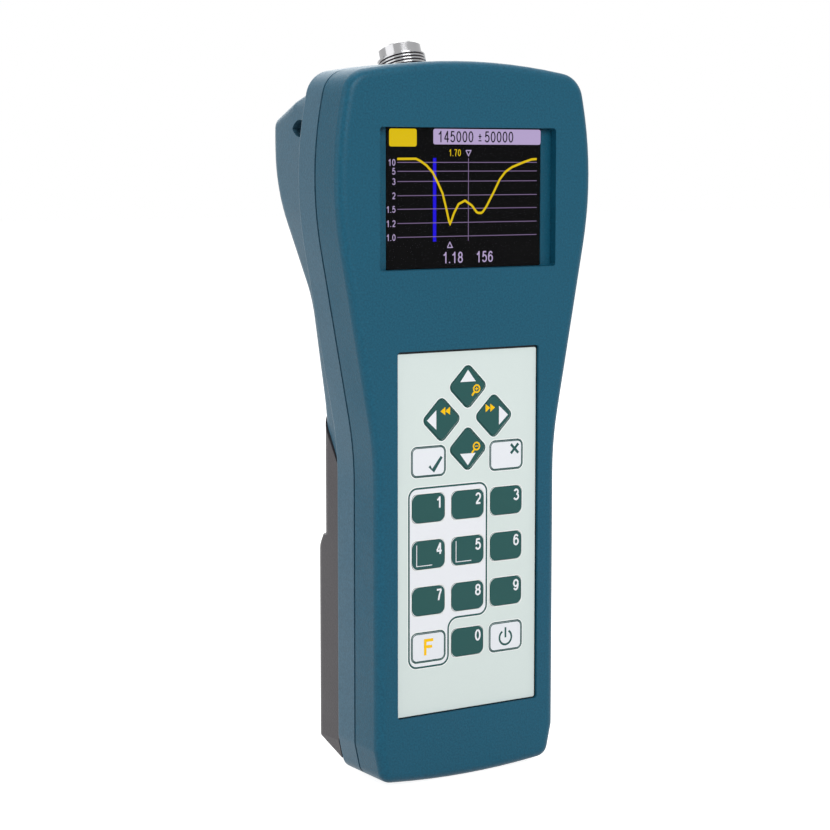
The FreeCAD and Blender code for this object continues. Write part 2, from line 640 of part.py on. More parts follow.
def make_rear_shell():
    body = new_body("rear_shell_blank")
    lip = face_sketch(body, "lip", D["seam_depth"] - D["lip_length"])
    draw_case_outline(lip, D["shell_wall"] + D["lip_fit"])
    pad(body, lip, D["lip_length"], backwards=True)
    tongue = face_sketch(body, "seam_tongue", D["seam_depth"] - D["seam_gap"] / 2.0)
    draw_case_outline(tongue, D["seam_inset"])
    pad(body, tongue, D["seam_gap"], backwards=True)
    start = D["seam_depth"] + D["seam_gap"] / 2.0
    band = face_sketch(body, "band", start)
    draw_case_outline(band)
    pad(body, band, D["band_depth"] - start, backwards=True)
    back = at_depth(D["band_depth"]).value
    soften(body, "band_edge", "Fillet", D["band_edge_radius"], lambda edge: lies_at(edge, "Y", back))

    housing_start = D["band_depth"] - D["band_edge_radius"]
    housing = face_sketch(body, "housing", housing_start)
    right = [
        (D["rear_grip_half_width"], D["rear_foot"]),
        (D["rear_grip_half_width"], D["rear_flare_low"]),
        (D["rear_head_half_width"], D["rear_flare_high"]),
        (D["rear_head_half_width"], D["rear_shoulder_low"]),
        (D["rear_crown_half_width"], D["rear_crown"]),
    ]
    radii = [D["rear_corner_radius"], D["rear_flare_radius"], D["rear_flare_radius"],
             D["rear_corner_radius"], D["hump_edge_radius"]]
    draw_smooth_loop(housing, mirrored(right), radii + list(reversed(radii)))
    pad(body, housing, D["case_depth"] - housing_start, backwards=True, draft=-D["hump_side_draft"])

    behind = side_sketch(body, "back_profile")
    profile = [
        ((D["rear_grip_depth"], NONE - D["shell_wall"]), None),
        ((D["rear_grip_depth"], D["hump_low"]), D["hump_low_radius"]),
        ((D["case_depth"], D["hump_high"]), D["hump_high_radius"]),
        ((D["case_depth"], port_plane_height(D["case_depth"])), None),
        ((D["band_depth"], port_plane_height(D["band_depth"])), None),
        ((D["band_depth"], D["case_height"] + D["shell_wall"]), None),
        ((D["case_depth"] * 1.5, D["case_height"] + D["shell_wall"]), None),
        ((D["case_depth"] * 1.5, NONE - D["shell_wall"]), None),
    ]
    profile.reverse()
    draw_smooth_loop(behind, [(at_depth(depth), height) for (depth, height), radius in profile],
                     [radius for spot, radius in profile])
    pocket(body, behind, D["case_depth"] * 2.0, both=True)

    under_cover = side_sketch(body, "cover_space")
    parting = D["cover_parting_depth"]
    reach = D["case_depth"] * 1.5
    draw_loop(under_cover, [
        (at_depth(parting), NONE - D["shell_wall"]), (at_depth(reach), NONE - D["shell_wall"]),
        (at_depth(reach), cover_top_at(reach) + D["cover_top_gap"]),
        (at_depth(parting), cover_top_at(parting) + D["cover_top_gap"])])
    pocket(body, under_cover, D["case_depth"] * 2.0, both=True)

    ridge = at_depth(D["rear_grip_depth"] - D["rear_corner_radius"]).value
    soften(body, "corner", "Fillet", D["rear_corner_radius"],
           lambda edge: runs_up_back_corner(edge, ridge))
    soften(body, "hump_edge", "Fillet", D["hump_edge_radius"], lies_on_port_plane_rim)

    inside = face_sketch(body, "inside", D["seam_depth"] - D["lip_length"])
    draw_case_outline(inside, D["shell_wall"] + D["lip_fit"] + D["lip_thickness"])
    floor_front = D["bay_floor_depth"] - D["bay_wall"]
    pocket(body, inside, floor_front - D["seam_depth"] + D["lip_length"])
    core = side_sketch(body, "hump_core")
    wall = D["hump_wall"]
    deep = D["case_depth"] - wall
    front = floor_front - 0.5
    draw_smooth_loop(core, [
        (at_depth(front), D["rear_flare_low"]),
        (at_depth(D["rear_grip_depth"] - wall), D["rear_flare_low"] + wall),
        (at_depth(D["rear_grip_depth"] - wall), D["hump_low"] + wall / 4.0),
        (at_depth(deep), D["hump_high"] + wall / 4.0),
        (at_depth(deep), port_plane_height(deep) - wall),
        (at_depth(front), port_plane_height(front) - wall)],
        [None, None, D["hump_low_radius"], D["hump_high_radius"], None, None])
    pocket(body, core, D["hump_core_half_width"] * 2.0, both=True)

    bay = face_sketch(body, "bay", parting)
    draw_box(bay, D["bay_rim"] - D["grip_half_width"], D["foot_crease"],
             D["grip_half_width"] - D["bay_rim"], cover_top_at(parting) - D["bay_rim"])
    pocket(body, bay, parting - D["bay_floor_depth"], backwards=True)
    walls = face_sketch(body, "contact_walls", D["bay_floor_depth"])
    half = D["bay_wall_half_width"]
    draw_box(walls, -half, D["bay_low"] - D["bay_wall"], half, D["bay_low"])
    draw_box(walls, -half, bay_high(), half, bay_high() + D["bay_wall"])
    pad(body, walls, D["bay_wall_depth"] - D["bay_floor_depth"], backwards=True)

    bosses = face_sketch(body, "bosses", D["seam_depth"] + D["seam_gap"] / 2.0)
    draw_circles(bosses, screw_places(), D["boss_radius"])
    pad(body, bosses, floor_front - D["seam_depth"], backwards=True)
    holes = face_sketch(body, "screw_holes", D["seam_depth"] - D["lip_length"])
    draw_circles(holes, screw_places(), D["screw_radius"] + D["screw_clearance"])
    pocket(body, holes, D["case_depth"])
    seats = face_sketch(body, "screw_seats", D["screw_seat_depth"])
    draw_circles(seats, [place for place in screw_places() if place[2] is D["screw_seat_depth"]],
                 D["screw_head_radius"] + D["screw_clearance"])
    pocket(body, seats, D["case_depth"])
    cut_socket_opening(body, D["seam_depth"] - D["lip_length"],
                       D["socket_depth"] + D["socket_thickness"] + D["socket_fit"])
    doc.recompute()

    holes = [port_hole(), strap_tunnel(1.0), strap_tunnel(-1.0)]
    cutter = plain_feature("rear_shell_openings", Part.makeCompound(holes))
    shell = doc.addObject("Part::Cut", "rear_shell")
    shell.Label = "rear_shell"
    shell.Base = body
    shell.Tool = cutter
    doc.recompute()


def port_plane_height(depth):
    """Height of the sloping plane behind the head that carries the antenna connector."""
    return D["port_base_height"] - (depth - D["port_depth"]) * D["port_tilt"].tangent()


def cover_top_at(depth):
    """Height of the battery cover's sloping top end at a depth."""
    return D["cover_top_height"] + (depth - D["cover_parting_depth"]) * D["cover_top_slope"].tangent()


def cover_foot_at(depth):
    rise = (depth - D["cover_parting_depth"]) * D["cover_foot_slope"].tangent()
    return D["cover_foot_height"] + rise


def runs_up_back_corner(edge, ridge):
    """Whether an edge runs up the corner between a side and the back."""
    box = edge.BoundBox
    aside = min(abs(box.XMin), abs(box.XMax)) > D["rear_grip_half_width"].value * 0.85
    return aside and box.YMin > ridge and box.ZLength > box.YLength * 0.6 and box.ZLength > 1.0


def lies_on_port_plane_rim(edge):
    """Whether an edge bounds the connector's plane, other than where it meets the band."""
    plane = [port_plane_height(D["case_depth"]).value, D["case_depth"].value + FRONT.value]
    tilt = D["port_tilt"].tangent().value
    inside = all(near(v.Point.z, plane[0] - (v.Point.y - plane[1]) * tilt) for v in edge.Vertexes)
    return inside and edge.BoundBox.YMax > at_depth(D["band_depth"]).value + 1.0


# Antenna connector
def port_axis():
    tilt = math.radians(D["port_tilt"].value)
    return Vector(0, math.sin(tilt), math.cos(tilt))


def port_base():
    return Vector(0, at_depth(D["port_depth"]).value, D["port_base_height"].value)


def port_ring(outer, inner, start, length):
    """A round sleeve on the connector's axis; start counts from the sloping plane."""
    place = port_base() + port_axis() * start
    ring = Part.makeCylinder(outer, length, place, port_axis())
    if inner > 0:
        ring = ring.cut(Part.makeCylinder(inner, length, place, port_axis()))
    return ring


def value(name):
    return D[name].value


def port_hole():
    radius = value("port_thread_radius") + value("port_fit")
    return port_ring(radius, 0, -value("hump_wall") * 2.0, value("hump_wall") * 4.0)


def strap_tunnel(side):
    """An eye for a strap: an almond-shaped mouth in the side and a slot out through the back."""
    half_length = value("slot_length") / 2.0
    half_height = value("slot_height") / 2.0
    mouth_middle = Vector(0, at_depth(D["slot_depth"]).value, value("slot_centre_height"))
    tip = Vector(0, half_length, 0)
    crown = Vector(0, 0, half_height)
    upper = Part.Arc(-tip, crown, tip).toShape()
    lower = Part.Arc(tip, -crown, -tip).toShape()
    almond = Part.Face(Part.Wire([upper, lower]))
    almond.translate(mouth_middle + Vector(side * value("slot_blind_half_width"), 0, 0))
    mouth = almond.extrude(Vector(side * value("slot_mouth_length"), 0, 0))
    wide = value("slot_exit_width")
    tall = value("slot_exit_height")
    exit_slot = Part.makeBox(wide, value("case_depth"), tall,
                             Vector(-wide / 2.0, 0, half_height * 0.3 - tall))
    along = [edge for edge in exit_slot.Edges if near(edge.Length, value("case_depth"))]
    exit_slot = exit_slot.makeFillet(half_height * 0.6, along)
    exit_slot.translate(mouth_middle + Vector(side * (value("slot_blind_half_width") + wide / 2.0), 0, 0))
    return mouth.fuse(exit_slot)


def make_connector():
    thread = value("port_thread_radius")
    neck = value("port_neck_radius")
    length = value("port_length")
    wall = value("hump_wall")
    collar = value("port_collar_length")
    inside = -wall - value("port_base_thickness")
    nut_end = value("port_washer_thickness") + value("port_nut_thickness")
    body = port_ring(neck, 0, inside, nut_end - inside)
    body = body.fuse(port_ring(thread, 0, nut_end, length - collar - nut_end))
    body = body.fuse(port_ring(value("port_collar_radius"), 0, 0, length))
    body = body.fuse(port_ring(value("port_base_radius"), 0, inside, value("port_base_thickness")))
    body = body.fuse(port_ring(value("port_tail_radius"), 0, inside - value("port_rear_length"),
                               value("port_rear_length")))
    mouth = port_ring(value("port_bore_radius"), 0, length - value("port_bore_depth"),
                      value("port_bore_depth"))
    seat = port_ring(value("port_insulator_radius"), 0, length - value("port_bore_depth")
                     - value("port_insulator_length"), value("port_insulator_length"))
    tail = port_ring(value("port_tail_bore_radius"), 0, inside - value("port_rear_length"),
                     length - inside + value("port_rear_length"))
    plain_feature("connector_body", body.cut(mouth).cut(seat).cut(tail).removeSplitter())

    pin = value("port_pin_radius")
    insulator = port_ring(value("port_insulator_radius"), pin, length - value("port_bore_depth")
                          - value("port_insulator_length"), value("port_insulator_length"))
    plain_feature("connector_insulator", insulator)
    rear = inside - value("port_rear_length") - value("port_pin_tail")
    front = length - value("port_pin_setback")
    contact = port_ring(pin, 0, rear, front - rear)
    bore = port_ring(value("port_pin_bore_radius"), 0, front - value("port_pin_bore_depth"),
                     value("port_pin_bore_depth"))
    plain_feature("connector_contact", contact.cut(bore))

    washer = port_ring(value("port_base_radius"), thread + value("port_fit"), 0,
                       value("port_washer_thickness"))
    plain_feature("connector_washer", washer)
    start = value("port_washer_thickness")
    corner = value("port_nut_across_flats") / math.sqrt(3.0)
    ring = [Vector(corner * math.cos(math.radians(60 * i)), corner * math.sin(math.radians(60 * i)), 0)
            for i in range(7)]
    hexagon = Part.Face(Part.makePolygon(ring)).extrude(Vector(0, 0, value("port_nut_thickness")))
    hexagon.Placement = Placement(port_base() + port_axis() * start, Rotation(Vector(0, 0, 1), port_axis()))
    dome = port_ring(corner * 0.965, 0, start, value("port_nut_thickness"))
    hole = port_ring(neck + value("port_nut_fit"), 0, start, value("port_nut_thickness"))
    plain_feature("connector_nut", hexagon.common(dome).cut(hole))


# Boards and what is soldered to them
def box_piece(label, left, front_depth, low, wide, deep, tall):
    """A rectangular piece as a pad of its front outline."""
    body = new_body(label)
    sketch = face_sketch(body, "outline", front_depth)
    draw_box(sketch, left, low, left + wide, low + tall)
    pad(body, sketch, deep, backwards=True)
    return body


def make_boards():
    half = D["board_half_width"]
    board = new_body("main_board")
    outline = face_sketch(board, "outline", D["board_depth"])
    draw_box(outline, -half, D["board_foot"], half, D["board_top"])
    pad(board, outline, D["board_thickness"], backwards=True)
    holes = face_sketch(board, "screw_holes", D["board_depth"])
    draw_circles(holes, board_screw_places(), D["board_screw_radius"] + D["screw_clearance"])
    pocket(board, holes, D["board_thickness"])
    back = D["board_depth"] + D["board_thickness"]

    can = box_piece("rf_shield", -(D["shield_width"] / 2.0), back,
                    D["shield_centre_height"] - D["shield_height"] / 2.0,
                    D["shield_width"], D["shield_depth"], D["shield_height"])
    hollow = face_sketch(can, "hollow", back)
    wide = D["shield_width"] / 2.0 - D["shield_wall"]
    tall = D["shield_height"] / 2.0 - D["shield_wall"]
    draw_box(hollow, -wide, D["shield_centre_height"] - tall, wide, D["shield_centre_height"] + tall)
    pocket(can, hollow, D["shield_depth"] - D["shield_wall"])

    buzzer = new_body("buzzer")
    ring = face_sketch(buzzer, "outline", back)
    draw_circle(ring, NONE, D["buzzer_height"], D["buzzer_radius"])
    pad(buzzer, ring, D["buzzer_thickness"], backwards=True)

    socket = box_piece("data_socket", -(D["socket_width"] / 2.0), back, D["socket_setback"],
                       D["socket_width"], D["socket_thickness"], D["socket_length"])
    mouth = level_sketch(socket, "mouth", D["socket_setback"])
    wall = D["socket_wall"]
    wide = D["socket_width"] / 2.0 - wall
    draw_box(mouth, -wide, at_depth(back + wall), wide, at_depth(back + D["socket_thickness"] - wall))
    pocket(socket, mouth, D["socket_length"] - wall, backwards=True)


# Batteries and their contacts
def bay_high():
    """Height of the upper contact wall, from the length of a cell with its spring and plates."""
    stack = D["cell_length"] + D["cell_tip_length"] + D["spring_height"]
    return D["bay_low"] + stack + D["contact_plate_thickness"] * 2.0 + D["cell_play"]


def cell_places():
    """Across place of each cell, and whether its tip points up."""
    return [(-value("cell_pitch"), True), (0.0, False), (value("cell_pitch"), True)]


def make_batteries():
    y = at_depth(D["cell_depth"]).value
    low = value("bay_low") + value("contact_plate_thickness")
    high = bay_high().value - value("contact_plate_thickness")
    up = Vector(0, 0, 1)
    plates = []
    springs = []
    for number, (x, tip_up) in enumerate(cell_places()):
        sign = 1.0 if tip_up else -1.0
        spring_end = low if tip_up else high
        start = spring_end + sign * value("spring_height")
        can = Part.makeCylinder(value("cell_radius"), value("cell_length"), Vector(x, y, start), up * sign)
        can = can.makeFillet(0.6, [edge for edge in can.Edges if near(edge.Length, 2 * math.pi
                                                                      * value("cell_radius"), 0.1)])
        tip = Part.makeCylinder(value("cell_tip_radius"), value("cell_tip_length"),
                                Vector(x, y, start + sign * value("cell_length")), up * sign)
        plain_feature(f"battery_{number + 1}", can.fuse(tip))
        spring = Part.makeCone(value("spring_radius"), value("spring_tip_radius"),
                               value("spring_height"), Vector(x, y, spring_end), up * sign)
        core = Part.makeCone(value("spring_radius") - 0.6, value("spring_tip_radius") - 0.6,
                             value("spring_height"), Vector(x, y, spring_end), up * sign)
        springs.append(spring.cut(core))
        wide = value("contact_plate_width")
        thick = value("contact_plate_thickness")
        for level in (value("bay_low"), high):
            plate = Part.makeBox(wide, wide * 0.8, thick, Vector(x - wide / 2.0, y - wide * 0.5, level))
            plates.append(plate)
    plain_feature("contact_plates", Part.makeCompound(plates))
    plain_feature("contact_springs", Part.makeCompound(springs))


# Battery cover
def cover_section(sketch, depth, inset):
    """The cover's level section: straight sides and a back with rounded corners."""
    half = D["cover_half_width"] - inset
    radius = D["cover_corner_radius"] - inset
    front_edge = at_depth(D["cover_parting_depth"] + D["cover_gap"])
    back = at_depth(depth - inset)
    draw_loop(sketch, [(-half, front_edge), (half, front_edge), (half, back - radius),
                       (half - radius, back), (radius - half, back), (-half, back - radius)],
              {2: radius, 4: radius})


def make_battery_cover():
    body = new_body("battery_cover")
    plate = level_sketch(body, "plate", NONE)
    cover_section(plate, D["cover_depth"], NONE)
    pad(body, plate, cover_top_at(D["cover_depth"]) + D["shell_wall"])
    pod = level_sketch(body, "pod", NONE)
    cover_section(pod, D["cover_pod_depth"], NONE)
    pad(body, pod, D["pod_top_height"] + D["pod_step_rise"])

    reach = D["case_depth"]
    step = side_sketch(body, "pod_step")
    draw_loop(step, [
        (at_depth(D["cover_depth"]), D["pod_top_height"] + D["pod_step_rise"]),
        (at_depth(D["cover_pod_depth"]), D["pod_top_height"]),
        (at_depth(reach), D["pod_top_height"]),
        (at_depth(reach), D["pod_top_height"] + D["pod_step_rise"] * 2.0),
        (at_depth(D["cover_depth"]), D["pod_top_height"] + D["pod_step_rise"] * 2.0)])
    pocket(body, step, reach * 2.0, both=True)
    pod_back = at_depth(D["cover_pod_depth"]).value
    upper = value("pod_top_height")
    soften(body, "pod_edge", "Fillet", D["pod_edge_radius"],
           lambda edge: near(edge.BoundBox.ZMin, upper, 0.6) and near(edge.BoundBox.YMax, pod_back, 0.6)
           and edge.BoundBox.XLength > 1.0)

    top = side_sketch(body, "top_end")
    parting = D["cover_parting_depth"]
    draw_loop(top, [
        (at_depth(parting - 5.0), cover_top_at(parting - 5.0)), (at_depth(reach), cover_top_at(reach)),
        (at_depth(parting - 5.0), cover_top_at(reach))])
    pocket(body, top, reach * 2.0, both=True)
    foot = side_sketch(body, "foot_end")
    draw_loop(foot, [
        (at_depth(parting - 5.0), cover_foot_at(parting - 5.0)), (at_depth(parting - 5.0), NONE - 9.0),
        (at_depth(reach), NONE - 9.0), (at_depth(reach), cover_foot_at(reach))])
    pocket(body, foot, reach * 2.0, both=True)
    for side in (-1.0, 1.0):
        taper = face_sketch(body, f"foot_taper_{'left' if side < 0 else 'right'}", parting)
        inner = D["foot_corner_half_width"] * side
        outer = D["grip_half_width"] * side
        corners = [(inner, D["foot_corner_height"]), (outer * 1.2, D["foot_corner_height"]),
                   (outer * 1.2, D["foot_crease"]), (outer, D["foot_crease"])]
        draw_loop(taper, corners if side > 0 else list(reversed(corners)))
        pocket(body, taper, reach)

    hollow = level_sketch(body, "hollow", D["cover_hollow_low"])
    cover_section(hollow, D["cover_depth"], D["cover_wall"])
    pocket(body, hollow, cover_top_at(parting) - D["bay_rim"] - D["cover_hollow_low"], backwards=True)
    cells = level_sketch(body, "cell_hollow", D["pod_hollow_low"])
    cover_section(cells, D["cover_pod_depth"], D["cover_wall"])
    pocket(body, cells, D["pod_hollow_high"] - D["pod_hollow_low"], backwards=True)


# Screws
def screw(seat, radius, head_radius, head_length, length, clear):
    """A pan-head screw with a cross recess, its shank along -Y from the seat."""
    shank = Part.makeCylinder(radius, length, seat, Vector(0, -1, 0))
    head = Part.makeCylinder(head_radius, head_length, seat, Vector(0, 1, 0))
    rim = [edge for edge in head.Edges if near(edge.CenterOfMass.y, seat.y + head_length)]
    head = head.makeFillet(head_length * 0.35, rim)
    shape = shank.fuse(head)
    arm = head_radius * 1.1
    width = head_radius * 0.24
    for spin in (0, 90):
        slot = Part.makeBox(arm, head_length, width, Vector(-arm / 2.0, 0, -width / 2.0))
        slot.rotate(Vector(), Vector(0, 1, 0), spin)
        slot.translate(seat + Vector(0, head_length * 0.5, 0))
        shape = shape.cut(slot)
    return shape


def make_screws():
    rim = D["seam_depth"] - D["seam_gap"] / 2.0
    case_screws = []
    for across, height, depth in screw_places():
        seat = Vector(across.value, at_depth(depth).value, height.value)
        length = (depth - rim + D["screw_bite"]).value
        case_screws.append(screw(seat, value("screw_radius"), value("screw_head_radius"),
                                 value("screw_head_length"), length, 0))
    plain_feature("case_screws", Part.makeCompound(case_screws))
    board_screws = []
    back = D["board_depth"] + D["board_thickness"]
    for across, height in board_screw_places():
        seat = Vector(across.value, at_depth(back).value, height.value)
        length = (D["board_thickness"] + D["board_screw_bite"]).value
        board_screws.append(screw(seat, value("board_screw_radius"), value("board_screw_head_radius"),
                                  value("board_screw_head_length"), length, 0))
    plain_feature("board_screws", Part.makeCompound(board_screws))


def run_all():
    for place in key_places():
        make_key(*place)
    make_keypad()
    make_front_shell()
    make_display()
    make_rear_shell()
    make_battery_cover()
    make_connector()
    make_boards()
    make_batteries()
    make_screws()


run_all()


# Check and write
def check_and_export():
    doc.recompute()
    for item in doc.Objects:
        if "Invalid" in item.State or "Error" in item.State:
            raise RuntimeError(f"{item.Label} did not build: {item.State}")
    os.makedirs("parts", exist_ok=True)
    for item in doc.Objects:
        if item.TypeId not in ("PartDesign::Body", "Part::Feature", "Part::Cut"):
            continue
        if item.Label in ("rear_shell_blank", "rear_shell_openings"):
            continue
        if item.Shape.isNull() or not item.Shape.isValid():
            raise RuntimeError(f"{item.Label} has a bad shape")
        item.Shape.exportStep(f"parts/{item.Label}.step")
        print(item.Label, len(item.Shape.Solids), round(item.Shape.Volume, 1))


check_and_export()
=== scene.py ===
import json
import math

import bpy
import bmesh
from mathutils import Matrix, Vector

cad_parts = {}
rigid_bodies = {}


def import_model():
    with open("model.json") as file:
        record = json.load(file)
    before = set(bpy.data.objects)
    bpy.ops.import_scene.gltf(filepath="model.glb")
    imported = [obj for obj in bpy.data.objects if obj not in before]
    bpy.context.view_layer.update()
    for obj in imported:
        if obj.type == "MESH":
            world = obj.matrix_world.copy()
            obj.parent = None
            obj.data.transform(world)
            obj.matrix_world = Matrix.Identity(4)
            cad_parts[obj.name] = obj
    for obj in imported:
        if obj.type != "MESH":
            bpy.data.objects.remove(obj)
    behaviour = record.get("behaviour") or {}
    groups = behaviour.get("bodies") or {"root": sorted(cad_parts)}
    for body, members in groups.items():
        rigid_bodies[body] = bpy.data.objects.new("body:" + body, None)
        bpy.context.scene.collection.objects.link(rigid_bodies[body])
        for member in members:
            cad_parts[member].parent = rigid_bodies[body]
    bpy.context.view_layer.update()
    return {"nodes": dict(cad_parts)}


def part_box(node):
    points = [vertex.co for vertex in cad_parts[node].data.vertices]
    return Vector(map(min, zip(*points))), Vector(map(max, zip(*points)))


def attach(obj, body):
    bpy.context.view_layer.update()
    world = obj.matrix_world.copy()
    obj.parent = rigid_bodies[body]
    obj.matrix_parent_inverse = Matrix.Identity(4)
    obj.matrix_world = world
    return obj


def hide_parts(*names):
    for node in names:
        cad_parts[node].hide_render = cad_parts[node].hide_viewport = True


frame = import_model()

# Lengths are in metres. Depths are counted back from the plane of the front face, in millimetres.
MM = 0.001
FRONT_Y = -27.0 * MM
PRINT_LIFT = 0.02 * MM
STROKE_STEP = 0.002 * MM


def at_depth(depth):
    return FRONT_Y + depth * MM


# Shader node groups
def new_group(name, inputs, outputs):
    """A shader node group; inputs are (name, socket kind, default) and outputs (name, socket kind)."""
    group = bpy.data.node_groups.new(name, "ShaderNodeTree")
    for label, kind, default in inputs:
        socket = group.interface.new_socket(name=label, in_out="INPUT", socket_type=kind)
        socket.default_value = default
    for label, kind in outputs:
        group.interface.new_socket(name=label, in_out="OUTPUT", socket_type=kind)
    return group, group.nodes.new("NodeGroupInput"), group.nodes.new("NodeGroupOutput")


def math_node(tree, operation, *terms):
    node = tree.nodes.new("ShaderNodeMath")
    node.operation = operation
    for index, term in enumerate(terms):
        if isinstance(term, (int, float)):
            node.inputs[index].default_value = term
        else:
            tree.links.new(term, node.inputs[index])
    return node.outputs[0]


def noise(tree, vector, scale, detail=3.0):
    node = tree.nodes.new("ShaderNodeTexNoise")
    node.inputs["Scale"].default_value = scale
    node.inputs["Detail"].default_value = detail
    tree.links.new(vector, node.inputs["Vector"])
    return node.outputs["Fac"]


def mix_colour(tree, factor, first, second, blend="MIX"):
    node = tree.nodes.new("ShaderNodeMix")
    node.data_type = "RGBA"
    node.blend_type = blend
    for socket, item in ((node.inputs[0], factor), (node.inputs[6], first), (node.inputs[7], second)):
        if isinstance(item, (float, tuple)):
            socket.default_value = item
        else:
            tree.links.new(item, socket)
    return node.outputs[2]


def stretch(tree, value, low, high, new_low, new_high):
    node = tree.nodes.new("ShaderNodeMapRange")
    for name, number in (("From Min", low), ("From Max", high), ("To Min", new_low), ("To Max", new_high)):
        node.inputs[name].default_value = number
    tree.links.new(value, node.inputs["Value"])
    return node.outputs["Result"]


def grey_of(tree, value):
    node = tree.nodes.new("ShaderNodeCombineColor")
    for name in ("Red", "Green", "Blue"):
        tree.links.new(value, node.inputs[name])
    return node.outputs["Color"]


def surface_place(tree):
    return tree.nodes.new("ShaderNodeTexCoord").outputs["Object"]


FINISH_OUTPUTS = [("Colour", "NodeSocketColor"), ("Roughness", "NodeSocketFloat"),
                  ("Normal", "NodeSocketVector")]


def moulded_plastic_group():
    """Spark-eroded plastic: a fine pebbled grain, a slow drift of tone and pale specks."""
    group, inside, outside = new_group("moulded_plastic", [
        ("Colour", "NodeSocketColor", (0.5, 0.5, 0.5, 1.0)),
        ("Grain Size mm", "NodeSocketFloat", 0.45),
        ("Grain Height mm", "NodeSocketFloat", 0.04),
        ("Tone Drift", "NodeSocketFloat", 0.06),
        ("Specks", "NodeSocketFloat", 0.1),
        ("Roughness", "NodeSocketFloat", 0.5),
    ], FINISH_OUTPUTS)
    place = surface_place(group)
    density = math_node(group, "DIVIDE", 1.0 / MM, inside.outputs["Grain Size mm"])
    cells = group.nodes.new("ShaderNodeTexVoronoi")
    cells.feature = "SMOOTH_F1"
    pebbles = group.nodes.new("ShaderNodeTexNoise")
    pebbles.inputs["Detail"].default_value = 4.0
    for node, scale in ((cells, density), (pebbles, math_node(group, "MULTIPLY", density, 0.7))):
        group.links.new(place, node.inputs["Vector"])
        group.links.new(scale, node.inputs["Scale"])
    relief = math_node(group, "ADD", math_node(group, "MULTIPLY", cells.outputs["Distance"], 0.8),
                       pebbles.outputs["Fac"])
    bump = group.nodes.new("ShaderNodeBump")
    group.links.new(math_node(group, "MULTIPLY", inside.outputs["Grain Height mm"], MM),
                    bump.inputs["Distance"])
    group.links.new(relief, bump.inputs["Height"])
    drift = stretch(group, noise(group, place, 18.0, 4.0), 0.3, 0.7, -0.5, 0.5)
    speck = stretch(group, pebbles.outputs["Fac"], 0.35, 0.7, -0.4, 1.0)
    factor = math_node(group, "ADD", 1.0, math_node(
        group, "ADD", math_node(group, "MULTIPLY", drift, inside.outputs["Tone Drift"]),
        math_node(group, "MULTIPLY", speck, inside.outputs["Specks"])))
    group.links.new(mix_colour(group, 1.0, inside.outputs["Colour"], grey_of(group, factor), "MULTIPLY"),
                    outside.inputs["Colour"])
    wear = stretch(group, noise(group, place, 45.0), 0.3, 0.7, -0.05, 0.05)
    group.links.new(math_node(group, "ADD", inside.outputs["Roughness"], wear),
                    outside.inputs["Roughness"])
    group.links.new(bump.outputs["Normal"], outside.inputs["Normal"])
    return group


def worked_metal_group():
    """Metal with turning or rolling marks across a direction, and handling smears."""
    group, inside, outside = new_group("worked_metal", [
        ("Colour", "NodeSocketColor", (0.7, 0.7, 0.7, 1.0)),
        ("Marks Per mm", "NodeSocketFloat", 6.0),
        ("Mark Height mm", "NodeSocketFloat", 0.002),
        ("Roughness", "NodeSocketFloat", 0.2),
        ("Direction", "NodeSocketVector", (0.0, 0.0, 1.0)),
    ], FINISH_OUTPUTS)
    place = surface_place(group)
    along = group.nodes.new("ShaderNodeVectorMath")
    along.operation = "DOT_PRODUCT"
    group.links.new(place, along.inputs[0])
    group.links.new(inside.outputs["Direction"], along.inputs[1])
    density = math_node(group, "MULTIPLY", inside.outputs["Marks Per mm"], 1.0 / MM)
    line = group.nodes.new("ShaderNodeTexNoise")
    line.noise_dimensions = "1D"
    line.inputs["Scale"].default_value = 1.0
    group.links.new(math_node(group, "MULTIPLY", along.outputs["Value"], density), line.inputs["W"])
    bump = group.nodes.new("ShaderNodeBump")
    group.links.new(math_node(group, "MULTIPLY", inside.outputs["Mark Height mm"], MM),
                    bump.inputs["Distance"])
    group.links.new(line.outputs["Fac"], bump.inputs["Height"])
    smear = noise(group, place, 160.0, 4.0)
    tone = grey_of(group, stretch(group, smear, 0.3, 0.7, 0.9, 1.04))
    group.links.new(mix_colour(group, 1.0, inside.outputs["Colour"], tone, "MULTIPLY"),
                    outside.inputs["Colour"])
    group.links.new(math_node(group, "ADD", inside.outputs["Roughness"],
                              stretch(group, smear, 0.3, 0.7, -0.05, 0.1)), outside.inputs["Roughness"])
    group.links.new(bump.outputs["Normal"], outside.inputs["Normal"])
    return group


def valley_group():
    """How far a point lies inside the crest of a round thing's surface, from 0 to 1."""
    group, inside, outside = new_group("thread_valley", [
        ("Base", "NodeSocketVector", (0.0, 0.0, 0.0)),
        ("Axis", "NodeSocketVector", (0.0, 0.0, 1.0)),
        ("Crest Radius mm", "NodeSocketFloat", 8.0),
        ("Depth mm", "NodeSocketFloat", 0.5),
    ], [("Mask", "NodeSocketFloat")])
    away = group.nodes.new("ShaderNodeVectorMath")
    away.operation = "SUBTRACT"
    group.links.new(surface_place(group), away.inputs[0])
    group.links.new(inside.outputs["Base"], away.inputs[1])
    across = group.nodes.new("ShaderNodeVectorMath")
    across.operation = "CROSS_PRODUCT"
    group.links.new(away.outputs["Vector"], across.inputs[0])
    group.links.new(inside.outputs["Axis"], across.inputs[1])
    radius = group.nodes.new("ShaderNodeVectorMath")
    radius.operation = "LENGTH"
    group.links.new(across.outputs["Vector"], radius.inputs[0])
    inward = math_node(group, "SUBTRACT", inside.outputs["Crest Radius mm"],
                       math_node(group, "MULTIPLY", radius.outputs["Value"], 1.0 / MM))
    share = math_node(group, "DIVIDE", inward, inside.outputs["Depth mm"])
    group.links.new(stretch(group, share, 0.0, 1.0, 0.0, 1.0), outside.inputs["Mask"])
    return group


MOULDED = moulded_plastic_group()
METAL = worked_metal_group()
VALLEY = valley_group()


